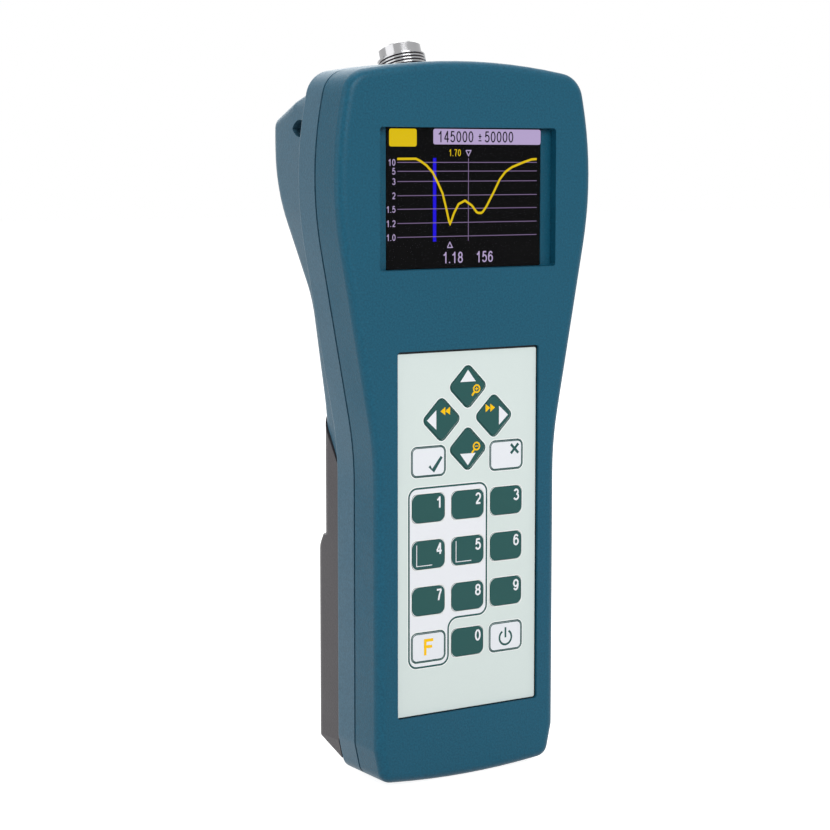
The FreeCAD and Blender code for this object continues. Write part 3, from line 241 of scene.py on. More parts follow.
# Materials
def srgb(red, green, blue):
    """A colour given in screen values from 0 to 255, as the shaders take it."""
    def linear(value):
        value /= 255.0
        return value / 12.92 if value <= 0.04045 else ((value + 0.055) / 1.055) ** 2.4
    return (linear(red), linear(green), linear(blue), 1.0)


def blank_material(name):
    material = bpy.data.materials.new(name)
    material.use_nodes = True
    tree = material.node_tree
    return material, tree, tree.nodes["Principled BSDF"]


def place_group(tree, group, values):
    node = tree.nodes.new("ShaderNodeGroup")
    node.node_tree = group
    for name, value in values.items():
        node.inputs[name].default_value = value
    return node


def finish_with(tree, shader, group):
    for source, target in (("Colour", "Base Color"), ("Roughness", "Roughness"), ("Normal", "Normal")):
        tree.links.new(group.outputs[source], shader.inputs[target])


def plastic(name, colour, roughness=0.4, grain=0.42, height=0.05, drift=0.06, specks=0.26, specular=0.2):
    material, tree, shader = blank_material(name)
    finish_with(tree, shader, place_group(tree, MOULDED, {
        "Colour": colour, "Grain Size mm": grain, "Grain Height mm": height,
        "Tone Drift": drift, "Specks": specks, "Roughness": roughness}))
    shader.inputs["Specular IOR Level"].default_value = specular
    return material


def film(name, colour):
    """Smooth printed film, nearly free of grain."""
    return plastic(name, colour, roughness=0.36, grain=0.3, height=0.003, drift=0.015, specks=0.01)


def metal(name, colour, roughness=0.2, marks=6.0, height=0.002, direction=(0.0, 0.0, 1.0)):
    material, tree, shader = blank_material(name)
    finish_with(tree, shader, place_group(tree, METAL, {
        "Colour": colour, "Marks Per mm": marks, "Mark Height mm": height,
        "Roughness": roughness, "Direction": direction}))
    shader.inputs["Metallic"].default_value = 1.0
    return material


def clear_lens(name):
    """A thin clear window with faint smears."""
    material, tree, shader = blank_material(name)
    smears = stretch(tree, noise(tree, surface_place(tree), 60.0, 4.0), 0.35, 0.75, 0.04, 0.12)
    tree.links.new(smears, shader.inputs["Roughness"])
    shader.inputs["Base Color"].default_value = (0.01, 0.01, 0.012, 1.0)
    shader.inputs["Specular IOR Level"].default_value = 0.0
    shader.inputs["Alpha"].default_value = 0.04
    return material


DISPLAY_ROWS = 2800.0
ROW_DIMMING = 0.86
SLEEVE_BAND_LOW = 46.0
SLEEVE_BAND_HIGH = 58.0


def lit_ink(name, colour, strength=0.85):
    """What the display shows: it glows in fine rows."""
    material, tree, shader = blank_material(name)
    rows = tree.nodes.new("ShaderNodeTexWave")
    rows.bands_direction = "Z"
    rows.inputs["Scale"].default_value = DISPLAY_ROWS
    tree.links.new(surface_place(tree), rows.inputs["Vector"])
    faint = tuple(value * ROW_DIMMING for value in colour[:3]) + (1.0,)
    tree.links.new(mix_colour(tree, rows.outputs["Fac"], faint, colour), shader.inputs["Emission Color"])
    shader.inputs["Base Color"].default_value = (0.0, 0.0, 0.0, 1.0)
    shader.inputs["Emission Strength"].default_value = strength
    shader.inputs["Roughness"].default_value = 0.6
    shader.inputs["Specular IOR Level"].default_value = 0.05
    return material


def battery_sleeve():
    """A printed sleeve: dark, with a copper band towards one end."""
    material, tree, shader = blank_material("battery_sleeve")
    group = place_group(tree, MOULDED, {
        "Colour": srgb(40, 46, 56), "Grain Size mm": 0.6, "Grain Height mm": 0.002,
        "Tone Drift": 0.05, "Specks": 0.02, "Roughness": 0.32})
    finish_with(tree, shader, group)
    height = tree.nodes.new("ShaderNodeSeparateXYZ")
    tree.links.new(surface_place(tree), height.inputs[0])
    above = math_node(tree, "GREATER_THAN", height.outputs["Z"], SLEEVE_BAND_LOW * MM)
    below = math_node(tree, "LESS_THAN", height.outputs["Z"], SLEEVE_BAND_HIGH * MM)
    band = math_node(tree, "MULTIPLY", above, below)
    tree.links.new(mix_colour(tree, band, group.outputs["Colour"], srgb(196, 132, 74)),
                   shader.inputs["Base Color"])
    tree.links.new(math_node(tree, "MULTIPLY", band, 0.9), shader.inputs["Metallic"])
    return material


def circuit_board():
    """Green solder mask over copper runs."""
    material, tree, shader = blank_material("circuit_board")
    turned = tree.nodes.new("ShaderNodeMapping")
    turned.inputs["Rotation"].default_value = (math.pi / 2.0, 0.0, 0.0)
    tree.links.new(surface_place(tree), turned.inputs["Vector"])
    runs = tree.nodes.new("ShaderNodeTexBrick")
    runs.inputs["Scale"].default_value = 160.0
    runs.inputs["Mortar Size"].default_value = 0.04
    runs.inputs["Color1"].default_value = srgb(20, 84, 52)
    runs.inputs["Color2"].default_value = srgb(16, 74, 48)
    runs.inputs["Mortar"].default_value = srgb(40, 118, 74)
    tree.links.new(turned.outputs["Vector"], runs.inputs["Vector"])
    tree.links.new(runs.outputs["Color"], shader.inputs["Base Color"])
    bump = tree.nodes.new("ShaderNodeBump")
    bump.inputs["Distance"].default_value = 0.03 * MM
    tree.links.new(runs.outputs["Fac"], bump.inputs["Height"])
    tree.links.new(bump.outputs["Normal"], shader.inputs["Normal"])
    shader.inputs["Roughness"].default_value = 0.3
    return material


# Antenna connector's place
CONNECTOR_TILT = math.radians(20.0)
CONNECTOR_AXIS = Vector((0.0, math.sin(CONNECTOR_TILT), math.cos(CONNECTOR_TILT)))
CONNECTOR_LINE = tuple(CONNECTOR_AXIS)
CONNECTOR_BASE = Vector((0.0, at_depth(35.7), 215.85 * MM))
NICKEL_COLOUR = srgb(168, 168, 170)
THREAD_RADIUS = 7.94
THREAD_DEPTH = 0.6
CREST_MARGIN = 0.08
# Nearer the axis than this, the collar and mouth are left out of the painted valley shade.
BRIGHT_RADIUS = 7.15
BRIGHT_BLEND = 0.1


def thread_nickel():
    """Bright nickel that is dull and dark in the thread's valleys: painted shade there, together with the
    grime a real thread holds.
    """
    material, tree, shader = blank_material("thread_nickel")
    group = place_group(tree, METAL, {
        "Colour": NICKEL_COLOUR, "Marks Per mm": 5.0, "Mark Height mm": 0.001,
        "Roughness": 0.1, "Direction": CONNECTOR_LINE})
    finish_with(tree, shader, group)
    valley = place_group(tree, VALLEY, {
        "Base": tuple(CONNECTOR_BASE), "Axis": CONNECTOR_LINE,
        "Crest Radius mm": THREAD_RADIUS - CREST_MARGIN, "Depth mm": THREAD_DEPTH})
    collar = place_group(tree, VALLEY, {
        "Base": tuple(CONNECTOR_BASE), "Axis": CONNECTOR_LINE,
        "Crest Radius mm": BRIGHT_RADIUS, "Depth mm": BRIGHT_BLEND})
    # Painted shade: the thread's valleys are darkened towards a dark grey, standing also for grime; the
    # collar and mouth are left out.
    grime_and_valley_shade = math_node(tree, "MULTIPLY", valley.outputs["Mask"],
                      math_node(tree, "SUBTRACT", 1.0, collar.outputs["Mask"]))
    tree.links.new(mix_colour(tree, grime_and_valley_shade, group.outputs["Colour"], srgb(38, 36, 36)),
                   shader.inputs["Base Color"])
    shader.inputs["Metallic"].default_value = 1.0
    return material


case_blue = plastic("case_blue", srgb(17, 80, 103))
rear_blue = plastic("rear_blue", srgb(60, 98, 118), specks=0.2)
cover_grey = plastic("cover_grey", srgb(73, 70, 73), specks=0.15)
overlay_film = film("overlay_film", srgb(218, 229, 226))
print_white = film("print_white", srgb(237, 239, 244))
print_halo = film("print_halo", srgb(244, 247, 246))
print_green = film("print_green", srgb(34, 82, 80))
print_yellow = film("print_yellow", srgb(253, 200, 0))
# Dark ink for the keypad's joint and the painted shadow beside it.
seam_and_shadow_ink = film("seam_and_shadow_ink", srgb(12, 22, 26))
key_green = film("key_green", srgb(34, 82, 80))
key_white = film("key_white", srgb(235, 238, 243))
black_plastic = plastic("black_plastic", srgb(22, 22, 24), height=0.006, grain=0.2)
insulator_white = plastic("insulator_white", srgb(232, 230, 222), height=0.003, specks=0.02)
screen_black = plastic("screen_black", srgb(3, 3, 4), roughness=0.12, height=0.0, specular=0.06)
nickel = metal("nickel", NICKEL_COLOUR, 0.1, 5.0, 0.0015, CONNECTOR_LINE)
thread_metal = thread_nickel()
tinned_steel = metal("tinned_steel", srgb(190, 191, 193), 0.28, 9.0, 0.001, (1.0, 0.0, 0.0))
zinc_steel = metal("zinc_steel", srgb(170, 172, 176), 0.3, 8.0, 0.002, (0.0, 1.0, 0.0))
gold_contact = metal("gold_contact", srgb(226, 184, 96), 0.18, 7.0, 0.001, CONNECTOR_LINE)
lens_clear = clear_lens("lens_clear")
board_green = circuit_board()
sleeve = battery_sleeve()
glow_yellow = lit_ink("glow_yellow", srgb(250, 214, 20))
glow_lilac = lit_ink("glow_lilac", srgb(206, 186, 232))
glow_line = lit_ink("glow_line", srgb(140, 118, 160))
glow_blue = lit_ink("glow_blue", srgb(38, 22, 250))
glow_dark = lit_ink("glow_dark", srgb(16, 14, 22))

FINISHES = {
    "front_shell": case_blue, "rear_shell": rear_blue, "battery_cover": cover_grey,
    "lcd_panel": screen_black, "keypad_overlay": overlay_film, "keypad_board": board_green,
    "key_domes": tinned_steel, "main_board": board_green, "rf_shield": tinned_steel,
    "buzzer": black_plastic, "data_socket": tinned_steel, "battery_1": sleeve,
    "battery_2": sleeve, "battery_3": sleeve, "contact_plates": nickel,
    "contact_springs": nickel, "connector_body": nickel, "connector_nut": nickel,
    "connector_washer": nickel, "connector_insulator": insulator_white,
    "connector_contact": gold_contact, "case_screws": zinc_steel, "board_screws": zinc_steel,
    "display_window": lens_clear,
}
WHITE_KEYS = ("key_ok", "key_cancel", "key_f", "key_power")


def dress_nodes():
    for name in frame["nodes"]:
        finish = FINISHES.get(name)
        if finish is None:
            finish = key_white if name in WHITE_KEYS else key_green
        node = bpy.data.objects[name]
        node.data.materials.clear()
        node.data.materials.append(finish)


# Outlines in the plane of the front face, as points in millimetres
def rounded_loop(left, low, right, high, radius, steps=8):
    points = []
    corners = ((right - radius, low + radius, -90.0), (right - radius, high - radius, 0.0),
               (left + radius, high - radius, 90.0), (left + radius, low + radius, 180.0))
    for x, y, start in corners:
        points += arc_points(x, y, radius, radius, start, start + 90.0, steps)
    return points


def arc_points(x, y, across, up, start, end, steps=20):
    points = []
    for i in range(steps + 1):
        angle = math.radians(start + (end - start) * i / steps)
        points.append((x + across * math.cos(angle), y + up * math.sin(angle)))
    return points


def soft_polygon(corners, radii, steps=8):
    """A polygon's points, anticlockwise, with each corner rounded by its own radius."""
    points = []
    count = len(corners)
    for i, corner in enumerate(corners):
        here = Vector(corner)
        back = (Vector(corners[i - 1]) - here).normalized()
        ahead = (Vector(corners[(i + 1) % count]) - here).normalized()
        half = back.angle(ahead) / 2.0
        reach = radii[i] / math.tan(half)
        centre = here + (back + ahead).normalized() * (radii[i] / math.sin(half))
        start = here + back * reach - centre
        sweep = start.angle_signed(here + ahead * reach - centre)
        for step in range(steps + 1):
            angle = -sweep * step / steps
            points.append((centre.x + start.x * math.cos(angle) - start.y * math.sin(angle),
                           centre.y + start.x * math.sin(angle) + start.y * math.cos(angle)))
    return points


def grow(corners, amount):
    """Move each side of an anticlockwise outline outwards by an amount."""
    grown = []
    count = len(corners)
    for i, corner in enumerate(corners):
        here = Vector(corner)
        first = (here - Vector(corners[i - 1])).normalized()
        second = (Vector(corners[(i + 1) % count]) - here).normalized()
        outwards = Vector((first.y + second.y, -first.x - second.x))
        grown.append(tuple(here + outwards * (amount / (1.0 + first.dot(second)))))
    return grown


def stroke_sides(points, width):
    """The two sides of a line of this width along the points."""
    left = []
    right = []
    count = len(points)
    for i, point in enumerate(points):
        here = Vector(point)
        before = Vector(points[max(i - 1, 0)])
        after = Vector(points[min(i + 1, count - 1)])
        along = (after - before).normalized()
        spread = width / 2.0
        if 0 < i < count - 1:
            turn = (here - before).normalized().dot((after - here).normalized())
            spread /= max(0.5, math.sqrt(max(0.0, (1.0 + turn) / 2.0)))
        side = Vector((-along.y, along.x)) * spread
        left.append(tuple(here + side))
        right.append(tuple(here - side))
    return left, right


# Figures drawn as strokes in a unit square
FIGURES = {
    "0": [arc_points(0.5, 0.5, 0.5, 0.5, 90.0, 450.0, 28)],
    "1": [[(0.62, -0.07), (0.62, 1.07)], [(0.05, 0.72), (0.4, 0.83), (0.64, 1.02)]],
    "2": [arc_points(0.5, 0.7, 0.48, 0.3, 165.0, -35.0) + [(0.1, 0.04)], [(-0.04, 0.0), (1.04, 0.0)]],
    "3": [arc_points(0.48, 0.76, 0.44, 0.24, 160.0, -80.0),
          arc_points(0.48, 0.27, 0.52, 0.27, 85.0, -160.0)],
    "4": [[(0.74, -0.07), (0.74, 1.07)], [(0.78, 1.06), (0.0, 0.3)], [(-0.08, 0.26), (1.1, 0.26)]],
    "5": [[(0.94, 1.0), (0.1, 1.0)], [(0.2, 1.04), (0.09, 0.46)],
          arc_points(0.47, 0.33, 0.53, 0.33, 150.0, -155.0)],
    "6": [arc_points(0.52, 0.5, 0.52, 0.5, 40.0, 185.0), arc_points(0.5, 0.32, 0.5, 0.32, 180.0, 540.0)],
    "7": [[(-0.04, 1.0), (1.04, 1.0)], [(0.98, 1.0), (0.56, 0.45), (0.38, -0.07)]],
    "8": [arc_points(0.5, 0.75, 0.43, 0.25, -90.0, 270.0), arc_points(0.5, 0.26, 0.5, 0.26, 90.0, 450.0)],
    "9": [arc_points(0.48, 0.5, 0.52, 0.5, -140.0, 5.0), arc_points(0.5, 0.68, 0.5, 0.32, 0.0, 360.0)],
    ".": [[(0.0, -0.06), (0.0, 0.06)]],
    "+-": [[(0.5, 0.25), (0.5, 0.95)], [(0.08, 0.6), (0.92, 0.6)], [(0.08, 0.0), (0.92, 0.0)]],
    " ": [],
}
POINT_SHARE = 0.35


def figures(words, height, width, line, x, y, gap=0.0, align=0.5):
    """Strokes for a row of figures; x is where align times the row's width lies, y its middle."""
    steps = [width * (POINT_SHARE if word == "." else 1.0) + gap for word in words]
    at = x - align * (sum(steps) - gap)
    strokes = []
    for word, step in zip(words, steps):
        for path in FIGURES[word]:
            strokes.append(([(at + line / 2.0 + px * (width - line),
                              y - height / 2.0 + line / 2.0 + py * (height - line))
                             for px, py in path], line))
        at += step
    return strokes


# Pieces
def mesh_from_form(name, form):
    mesh = bpy.data.meshes.new(name)
    form.to_mesh(mesh)
    form.free()
    return mesh


def add_piece(name, mesh, finish):
    """An object with one finish, placed in the scene."""
    mesh.materials.append(finish)
    piece = bpy.data.objects.new(name, mesh)
    bpy.context.scene.collection.objects.link(piece)
    return piece


# Printed pieces
def filled_faces(loops):
    """Points and faces that fill closed loops; an inner loop is a hole."""
    curve = bpy.data.curves.new("outline", "CURVE")
    curve.dimensions = "2D"
    curve.fill_mode = "BOTH"
    for loop in loops:
        spline = curve.splines.new("POLY")
        spline.points.add(len(loop) - 1)
        for point, (x, y) in zip(spline.points, loop):
            point.co = (x, y, 0.0, 1.0)
        spline.use_cyclic_u = True
    holder = bpy.data.objects.new("outline", curve)
    bpy.context.scene.collection.objects.link(holder)
    bpy.context.view_layer.update()
    mesh = bpy.data.meshes.new_from_object(holder.evaluated_get(bpy.context.evaluated_depsgraph_get()))
    spots = [(v.co.x, v.co.y) for v in mesh.vertices]
    faces = [tuple(face.vertices) for face in mesh.polygons]
    bpy.data.objects.remove(holder)
    bpy.data.meshes.remove(mesh)
    bpy.data.curves.remove(curve)
    return spots, faces


def stroke_faces(points, width):
    left, right = stroke_sides(points, width)
    count = len(points)
    faces = [(i, i + 1, count + i + 1, count + i) for i in range(count - 1)]
    return left + right, faces


def printed(name, depth, ink, body, fills=(), strokes=(), lift=PRINT_LIFT):
    """Print lying just proud of a face at a depth: filled loops and strokes in one ink."""
    verts = []
    faces = []
    parts = [(filled_faces(loops), 0.0) for loops in fills]
    parts += [(stroke_faces(points, width), i * STROKE_STEP) for i, (points, width) in enumerate(strokes)]
    for (spots, polygons), step in parts:
        base = len(verts)
        verts += [(x * MM, at_depth(depth) - lift - step, z * MM) for x, z in spots]
        faces += [tuple(base + i for i in polygon) for polygon in polygons]
    mesh = bpy.data.meshes.new(name)
    mesh.from_pydata(verts, [], faces)
    mesh.update()
    form = bmesh.new()
    form.from_mesh(mesh)
    for face in form.faces:
        if face.normal.y > 0.0:
            face.normal_flip()
    form.to_mesh(mesh)
    form.free()
    piece = add_piece(name, mesh, ink)
    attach(piece, body)


# Keypad print
KEY_DEPTH = 0.95
OVERLAY_DEPTH = 1.05
KEY_PITCH_ACROSS = 14.78
KEY_PITCH_DOWN = 14.75
KEY_ROW_TOP = 87.85
KEY_HALF_WIDTH = 6.1
KEY_HALF_HEIGHT = 4.5
KEY_RADIUS = 1.7
KEY_FIT = 0.12
KEY_PRINT_RADIUS = 2.2
KEY_LINE = 0.3
HALO = 0.3
ARROW_CENTRE = 115.5
ARROW_SPREAD = 9.9
ARROW_HALF_DIAGONAL = 9.75 / math.sqrt(2.0)
ARROW_RADIUS = 1.5
ARROW_RIM = 0.5
PAD_HALF_WIDTH = 26.7
PAD_LOW = 21.75
PAD_HIGH = 137.45
PAD_RADIUS = 1.0
# The dark ring at the keypad's edge covers the real joint and a painted shadow over the film's edge, wider
# at the top.
PAD_SEAM_AND_SHADE = 0.42
PAD_TOP_SEAM_AND_SHADE = 0.75


def key_spots():
    spots = {
        "key_up": (0.0, ARROW_CENTRE + ARROW_SPREAD), "key_down": (0.0, ARROW_CENTRE - ARROW_SPREAD),
        "key_left": (-ARROW_SPREAD, ARROW_CENTRE), "key_right": (ARROW_SPREAD, ARROW_CENTRE),
        "key_ok": (-KEY_PITCH_ACROSS, KEY_ROW_TOP + KEY_PITCH_DOWN),
        "key_cancel": (KEY_PITCH_ACROSS, KEY_ROW_TOP + KEY_PITCH_DOWN),
    }
    rows = (("1", "2", "3"), ("4", "5", "6"), ("7", "8", "9"), ("f", "0", "power"))
    for row, names in enumerate(rows):
        for column, name in enumerate(names):
            spots[f"key_{name}"] = ((column - 1) * KEY_PITCH_ACROSS, KEY_ROW_TOP - row * KEY_PITCH_DOWN)
    return spots


SPOTS = key_spots()
ARROW_KEYS = ("key_up", "key_left", "key_right", "key_down")


def at_key(name, points):
    x, y = SPOTS[name]
    return [(x + px, y + py) for px, py in points]


def key_loop(name, extra, radius):
    """A rectangular key's outline, larger by extra on every side."""
    return at_key(name, rounded_loop(-KEY_HALF_WIDTH - extra, -KEY_HALF_HEIGHT - extra,
                                     KEY_HALF_WIDTH + extra, KEY_HALF_HEIGHT + extra, radius))


def arrow_loop(name, extra):
    reach = ARROW_HALF_DIAGONAL
    corners = grow([(reach, 0.0), (0.0, reach), (-reach, 0.0), (0.0, -reach)], extra)
    return at_key(name, soft_polygon(corners, [ARROW_RADIUS + extra] * 4))


def print_surrounds():
    """The light rings around all keys, the arrow keys' rims and the white keys' lines."""
    halos = []
    rims = []
    for name in SPOTS:
        if name in ARROW_KEYS:
            rims.append([arrow_loop(name, ARROW_RIM), arrow_loop(name, KEY_FIT)])
            halos.append([arrow_loop(name, ARROW_RIM + HALO), arrow_loop(name, ARROW_RIM)])
            continue
        start = KEY_FIT
        if name in WHITE_KEYS:
            start += KEY_LINE
            rims.append([key_loop(name, start, KEY_RADIUS + start),
                         key_loop(name, KEY_FIT, KEY_RADIUS + KEY_FIT)])
        halos.append([key_loop(name, start + HALO, KEY_RADIUS + start + HALO),
                      key_loop(name, start, KEY_RADIUS + start)])
    printed("key_halos", OVERLAY_DEPTH, print_halo, "case", fills=halos, lift=2.0 * PRINT_LIFT)
    printed("key_rims", OVERLAY_DEPTH, print_green, "case", fills=rims, lift=2.0 * PRINT_LIFT)


def corner_slivers(name):
    """What a key's own corners leave outside its rounder print."""
    slivers = []
    for across in (-1.0, 1.0):
        for up in (-1.0, 1.0):
            tight = arc_points(KEY_HALF_WIDTH - KEY_RADIUS, KEY_HALF_HEIGHT - KEY_RADIUS,
                               KEY_RADIUS, KEY_RADIUS, 0.0, 90.0, 6)
            wide = arc_points(KEY_HALF_WIDTH - KEY_PRINT_RADIUS, KEY_HALF_HEIGHT - KEY_PRINT_RADIUS,
                              KEY_PRINT_RADIUS, KEY_PRINT_RADIUS, 90.0, 0.0, 6)
            slivers.append([at_key(name, [(across * x, up * y) for x, y in tight + wide])])
    return slivers


def dress_number_keys():
    for digit in "1234567890":
        name = f"key_{digit}"
        x, y = SPOTS[name]
        strokes = figures(digit, 3.75, 2.2, 0.6, x + 4.0, y + 1.6)
        if digit in "45":
            corner = at_key(name, [(-4.4, 3.3), (-4.4, -3.4), (1.4, -3.4)])
            strokes.append((corner, 0.26))
        printed(f"{name}_figure", KEY_DEPTH, print_white, name, strokes=strokes)
        surround = print_white if digit in "124578" else overlay_film
        printed(f"{name}_corners", KEY_DEPTH, surround, name, fills=corner_slivers(name))


def dress_arrow_keys():
    triangles = {
        "key_up": [(-2.95, 1.5), (2.95, 1.5), (0.0, 5.3)],
        "key_down": [(-2.95, -1.5), (0.0, -5.3), (2.95, -1.5)],
        "key_left": [(-2.0, -3.1), (-2.0, 3.1), (-5.5, 0.0)],
        "key_right": [(2.0, 3.1), (2.0, -3.1), (5.5, 0.0)],
    }
    for name, points in triangles.items():
        printed(f"{name}_arrow", KEY_DEPTH, print_white, name, fills=[[at_key(name, points)]])
    for name, cx, cy in (("key_up", 3.3, -0.9), ("key_down", 3.3, 0.6)):
        strokes = [(arc_points(cx, cy, 1.15, 1.15, 0.0, 360.0), 0.5),
                   ([(cx - 0.85, cy - 0.95), (cx - 1.75, cy - 2.1)], 0.62),
                   ([(cx - 0.6, cy), (cx + 0.6, cy)], 0.34)]
        if name == "key_up":
            strokes.append(([(cx, cy - 0.6), (cx, cy + 0.6)], 0.34))
        printed(f"{name}_zoom", KEY_DEPTH, print_yellow, name,
                strokes=[(at_key(name, points), width) for points, width in strokes])
    for name, sign in (("key_left", -1.0), ("key_right", 1.0)):
        fills = []
        for back in (-3.15, -1.35):
            points = [(back, 1.3), (back + 1.8, 2.6), (back, 3.9)]
            fills.append([at_key(name, [(sign * x, y) for x, y in points])])
        printed(f"{name}_step", KEY_DEPTH, print_yellow, name, fills=fills)


def dress_white_keys():
    for name in WHITE_KEYS:
        printed(f"{name}_line", KEY_DEPTH, print_green, name,
                fills=[[key_loop(name, -0.02, KEY_RADIUS), key_loop(name, -0.28, KEY_RADIUS - 0.28)]])
    tick = at_key("key_ok", [(0.3, -1.5), (1.7, -3.0), (4.9, 1.2)])
    cross = [at_key("key_cancel", line) for line in ([(1.8, 0.3), (4.7, 3.3)], [(1.8, 3.3), (4.7, 0.3)])]
    power = [at_key("key_power", arc_points(0.0, -0.45, 2.35, 2.35, 122.0, 418.0)),
             at_key("key_power", [(0.0, -0.5), (0.0, 2.85)])]
    printed("key_ok_tick", KEY_DEPTH, print_green, "key_ok", strokes=[(tick, 0.92)])
    printed("key_cancel_cross", KEY_DEPTH, print_green, "key_cancel",
            strokes=[(line, 0.88) for line in cross])
    printed("key_power_ring", KEY_DEPTH, print_green, "key_power",
            strokes=[(line, 0.66) for line in power])
    mark = [[(-1.2, -2.6), (-1.2, 2.6)], [(-1.65, 2.15), (1.8, 2.15)], [(-1.65, 0.1), (1.4, 0.1)]]
    printed("key_f_mark", KEY_DEPTH, print_yellow, "key_f",
            strokes=[(at_key("key_f", line), 0.95) for line in mark])


ZONE_CORNERS = [(-22.3, 37.0), (-7.0, 37.0), (-7.0, 51.6), (7.6, 51.6), (7.6, 94.6), (-22.3, 94.6)]
ZONE_TURNS = (1, 1, -1, 1, 1, 1)
ZONE_RADIUS = 3.2
ZONE_LINE = 0.6


def zone_loop(extra):
    return soft_polygon(grow(ZONE_CORNERS, extra), [ZONE_RADIUS + extra * turn for turn in ZONE_TURNS])


def key_zone():
    """The white zone around a group of keys, with its line and a light ring outside it."""
    holes = [key_loop(name, KEY_FIT + 0.02, KEY_RADIUS + KEY_FIT) for name in
             ("key_1", "key_2", "key_4", "key_5", "key_7", "key_8", "key_f")]
    printed("zone_fill", OVERLAY_DEPTH, print_white, "case", fills=[[zone_loop(-ZONE_LINE)] + holes])
    printed("zone_line", OVERLAY_DEPTH, print_green, "case", fills=[[zone_loop(0.0), zone_loop(-ZONE_LINE)]])
    printed("zone_halo", OVERLAY_DEPTH, print_halo, "case", fills=[[zone_loop(HALO), zone_loop(0.0)]])


def pad_seam_and_shadow():
    """The dark joint between the keypad's film and the edge of its recess, widened over the film's edge,
    most at the top, as painted shadow cast by the recess wall.
    """
    rim = rounded_loop(-PAD_HALF_WIDTH, PAD_LOW, PAD_HALF_WIDTH, PAD_HIGH, PAD_RADIUS)
    film_edge = rounded_loop(-PAD_HALF_WIDTH + PAD_SEAM_AND_SHADE, PAD_LOW + PAD_SEAM_AND_SHADE, PAD_HALF_WIDTH - PAD_SEAM_AND_SHADE,
                             PAD_HIGH - PAD_TOP_SEAM_AND_SHADE, PAD_RADIUS - PAD_SEAM_AND_SHADE)
    printed("pad_seam_and_shadow", OVERLAY_DEPTH, seam_and_shadow_ink, "case", fills=[[rim, film_edge]])


# What the display shows
LCD_DEPTH = 3.0
GRID_LEFT = -24.97
GRID_RIGHT = 27.6
GRID = (("10", 195.65), ("5", 192.93), ("3", 189.81), ("2", 185.46), ("1.5", 181.3),
        ("1.2", 176.96), ("1.0", 172.68))
TRACE = (
    (-25.0, 196.72), (-18.2, 196.76), (-16.6, 196.1), (-14.3, 194.7), (-12.0, 192.5), (-10.1, 189.3),
    (-8.4, 186.1), (-7.1, 181.7), (-5.95, 177.3), (-5.6, 176.6), (-5.2, 177.3), (-4.1, 179.9),
    (-2.4, 182.7), (0.0, 183.75), (2.6, 182.2), (4.4, 180.1), (5.0, 179.85), (6.2, 179.8), (6.8, 180.2),
    (8.1, 181.8), (10.8, 186.15), (13.2, 190.3), (15.4, 192.7), (17.9, 194.15), (22.4, 195.7),
    (25.6, 196.6), (27.5, 196.7))


def lit(name, ink, layer, fills=(), strokes=()):
    """Something on the display; a higher layer lies nearer to the viewer."""
    printed(name, LCD_DEPTH, ink, "case", fills, strokes, lift=(0.03 + 0.02 * layer) * MM)


def display_picture():
    lines = [([(GRID_LEFT, z), (GRID_RIGHT, z)], 0.24) for _, z in GRID]
    lit("chart_grid", glow_line, 1, strokes=lines + [([(1.3, 171.2), (1.3, 196.95)], 0.24)])
    lit("chart_bar", glow_blue, 0, strokes=[([(-11.3, 171.15), (-11.3, 197.0)], 1.2)])
    labels = []
    for words, z in GRID:
        labels += figures(words, 2.05, 1.15, 0.26, GRID_LEFT - 0.7, z, 0.28, 1.0)
    lit("chart_labels", glow_lilac, 2, strokes=labels)
    lit("chart_trace", glow_yellow, 3, strokes=[(TRACE, 0.72)])
    lit("mode_chip", glow_yellow, 1, fills=[[rounded_loop(-27.9, 200.5, -17.9, 205.95, 0.7)]])
    lit("range_chip", glow_lilac, 1, fills=[[rounded_loop(-11.8, 201.2, 29.0, 206.0, 0.7)]])
    value = (figures("145000", 3.5, 1.85, 0.42, -10.1, 203.6, 0.42, 0.0)
             + figures(["+-"], 2.6, 1.7, 0.36, 5.6, 203.5)
             + figures("50000", 3.5, 1.85, 0.42, 7.4, 203.6, 0.42, 0.0))
    lit("range_value", glow_dark, 2, strokes=value)
    lit("cursor_value", glow_yellow, 1, strokes=figures("1.70", 2.1, 1.1, 0.26, -3.8, 198.65, 0.26))
    marks = []
    for x, base, tip in ((1.3, 199.35, 197.7), (-5.62, 169.2, 170.85)):
        marks.append(([(x - 0.95, base), (x + 0.95, base), (x, tip), (x - 0.95, base)], 0.3))
    lit("chart_marks", glow_lilac, 1, strokes=marks)
    low = (figures("1.18", 3.5, 1.85, 0.42, -8.2, 166.05, 0.42, 0.0)
           + figures("156", 3.5, 1.85, 0.42, 4.3, 166.05, 0.42, 0.0))
    lit("low_values", glow_lilac, 1, strokes=low)


# Antenna connector
THREAD_PITCH = 25.4 / 24.0
THREAD_START = 4.0
THREAD_END = 14.0
PROFILE_STEPS = 10
TURN_STEPS = 96
CONNECTOR_REACH = 17.6
FLANGE_START = -4.2
FLANGE_END = -2.6
FLANGE_RADIUS = 9.2
NECK_RADIUS = 7.7
COLLAR_FOOT_RADIUS = 7.05
COLLAR_RADIUS = 7.0
MOUTH_RADIUS = 4.3
MOUTH_DEPTH = 9.5
SEAT_RADIUS = 3.6
SEAT_DEPTH = 15.5
BORE_RADIUS = 1.9
CONNECTOR_EDGE = 0.3


def thread_radius(t, angle):
    """The thread's radius at a height and a turn: flat crests and sharp valleys, run out at the ends."""
    phase = (t / THREAD_PITCH - angle / (2.0 * math.pi)) % 1.0
    valley = min(1.0, max(0.0, 1.3 - 2.6 * abs(phase * 2.0 - 1.0)))
    fade = max(0.0, min(1.0, (t - THREAD_START) / 0.5, (THREAD_END - t) / 0.5))
    return THREAD_RADIUS - THREAD_DEPTH * fade * valley


